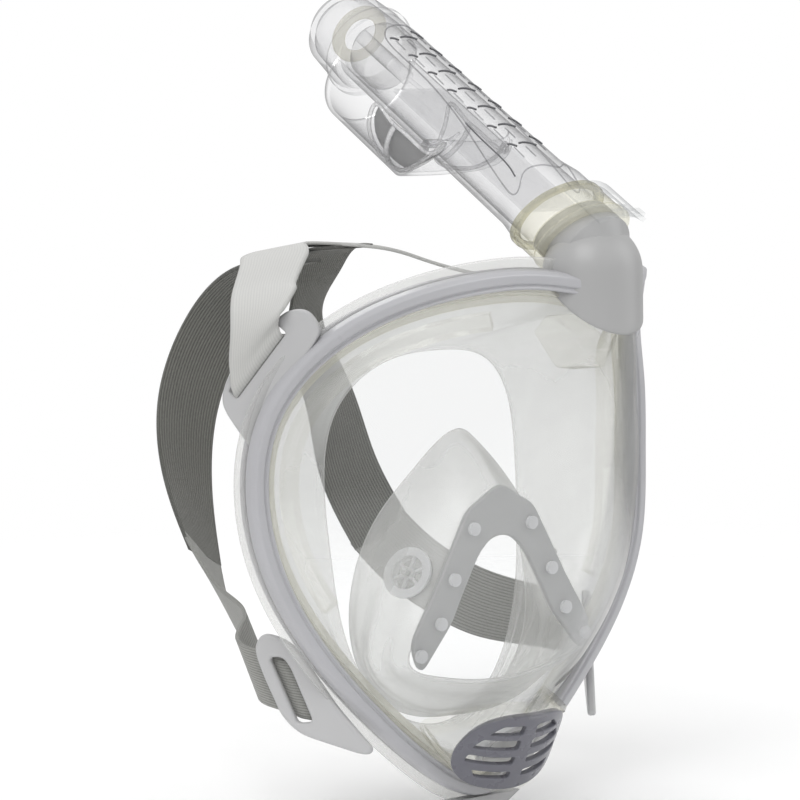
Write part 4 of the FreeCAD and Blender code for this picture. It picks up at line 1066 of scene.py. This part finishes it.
def surroundings():
    """White to the camera; soft studio panels with a few dark gaps to everything else."""
    world = bpy.data.worlds.new("studio")
    bpy.context.scene.world = world
    world.use_nodes = True
    tree = world.node_tree
    tree.nodes.clear()
    direction = add(tree, "ShaderNodeTexCoord").outputs["Generated"]
    parts = add(tree, "ShaderNodeSeparateXYZ", {0: direction}).outputs
    upwards = {"Value": parts[2], "From Min": -0.5, "From Max": 0.6, "To Min": 0.55, "To Max": 1.0}
    panels = add(tree, "ShaderNodeMapRange", upwards).outputs[0]
    for x, y, width, darkness in DARK_GAPS:
        toward = add(tree, "ShaderNodeVectorMath", {0: direction, 1: (x, y, 0.0)},
                     operation="DOT_PRODUCT").outputs["Value"]
        lit = add(tree, "ShaderNodeMapRange", {
            "Value": toward, "From Min": math.cos(width * 2.2), "From Max": math.cos(width),
            "To Min": 1.0, "To Max": 1.0 - darkness}, interpolation_type="SMOOTHSTEP").outputs[0]
        panels = math_node(tree, "MULTIPLY", panels, lit)
    ray = add(tree, "ShaderNodeLightPath").outputs["Is Camera Ray"]
    level = math_node(tree, "MULTIPLY", panels, 0.75)
    strength = add(tree, "ShaderNodeMix", {0: ray, 2: level, 3: 1.0}, data_type="FLOAT").outputs[0]
    glow = add(tree, "ShaderNodeBackground", {"Color": colour(1, 1, 1), "Strength": strength}).outputs[0]
    add(tree, "ShaderNodeOutputWorld", {"Surface": glow})


def area_light(name, place, size, energy):
    """A rectangular lamp that faces the middle of the mask."""
    data = bpy.data.lights.new(name, "AREA")
    data.shape = "RECTANGLE"
    data.size, data.size_y = size
    data.energy = energy
    lamp = bpy.data.objects.new(name, data)
    lamp.location = place
    centre = (cad_box[0] + cad_box[1]) / 2
    lamp.rotation_euler = (centre - Vector(place)).to_track_quat("-Z", "Y").to_euler()
    bpy.context.scene.collection.objects.link(lamp)


def add_camera():
    """Looks at the mask from the wearer's right, a little above its middle."""
    focus = Vector((0, 36 * MM, 38 * MM))
    data = bpy.data.cameras.new("camera")
    data.sensor_width = 36
    data.lens = CAMERA_LENS
    camera = bpy.data.objects.new("camera", data)
    level = math.cos(CAMERA_ELEVATION)
    back = Vector((math.sin(CAMERA_AZIMUTH) * level, -math.cos(CAMERA_AZIMUTH) * level,
                   math.sin(CAMERA_ELEVATION)))
    camera.location = focus + back * CAMERA_DISTANCE
    turn = (-back).to_track_quat("-Z", "Y")
    camera.rotation_mode = "QUATERNION"
    camera.rotation_quaternion = turn @ Quaternion((0, 0, 1), CAMERA_ROLL)
    bpy.context.scene.collection.objects.link(camera)
    bpy.context.scene.camera = camera


fading_floor()
surroundings()
area_light("key", (-0.9, -0.5, 1.1), (0.9, 0.9), 9.0)
area_light("fill", (1.0, -0.7, 0.5), (0.8, 1.2), 4.0)
area_light("rim", (0.2, 1.2, 0.9), (1.0, 0.6), 6.0)
add_camera()

scene = bpy.context.scene
scene.view_settings.view_transform = "Standard"
scene.cycles.transparent_max_bounces = 40
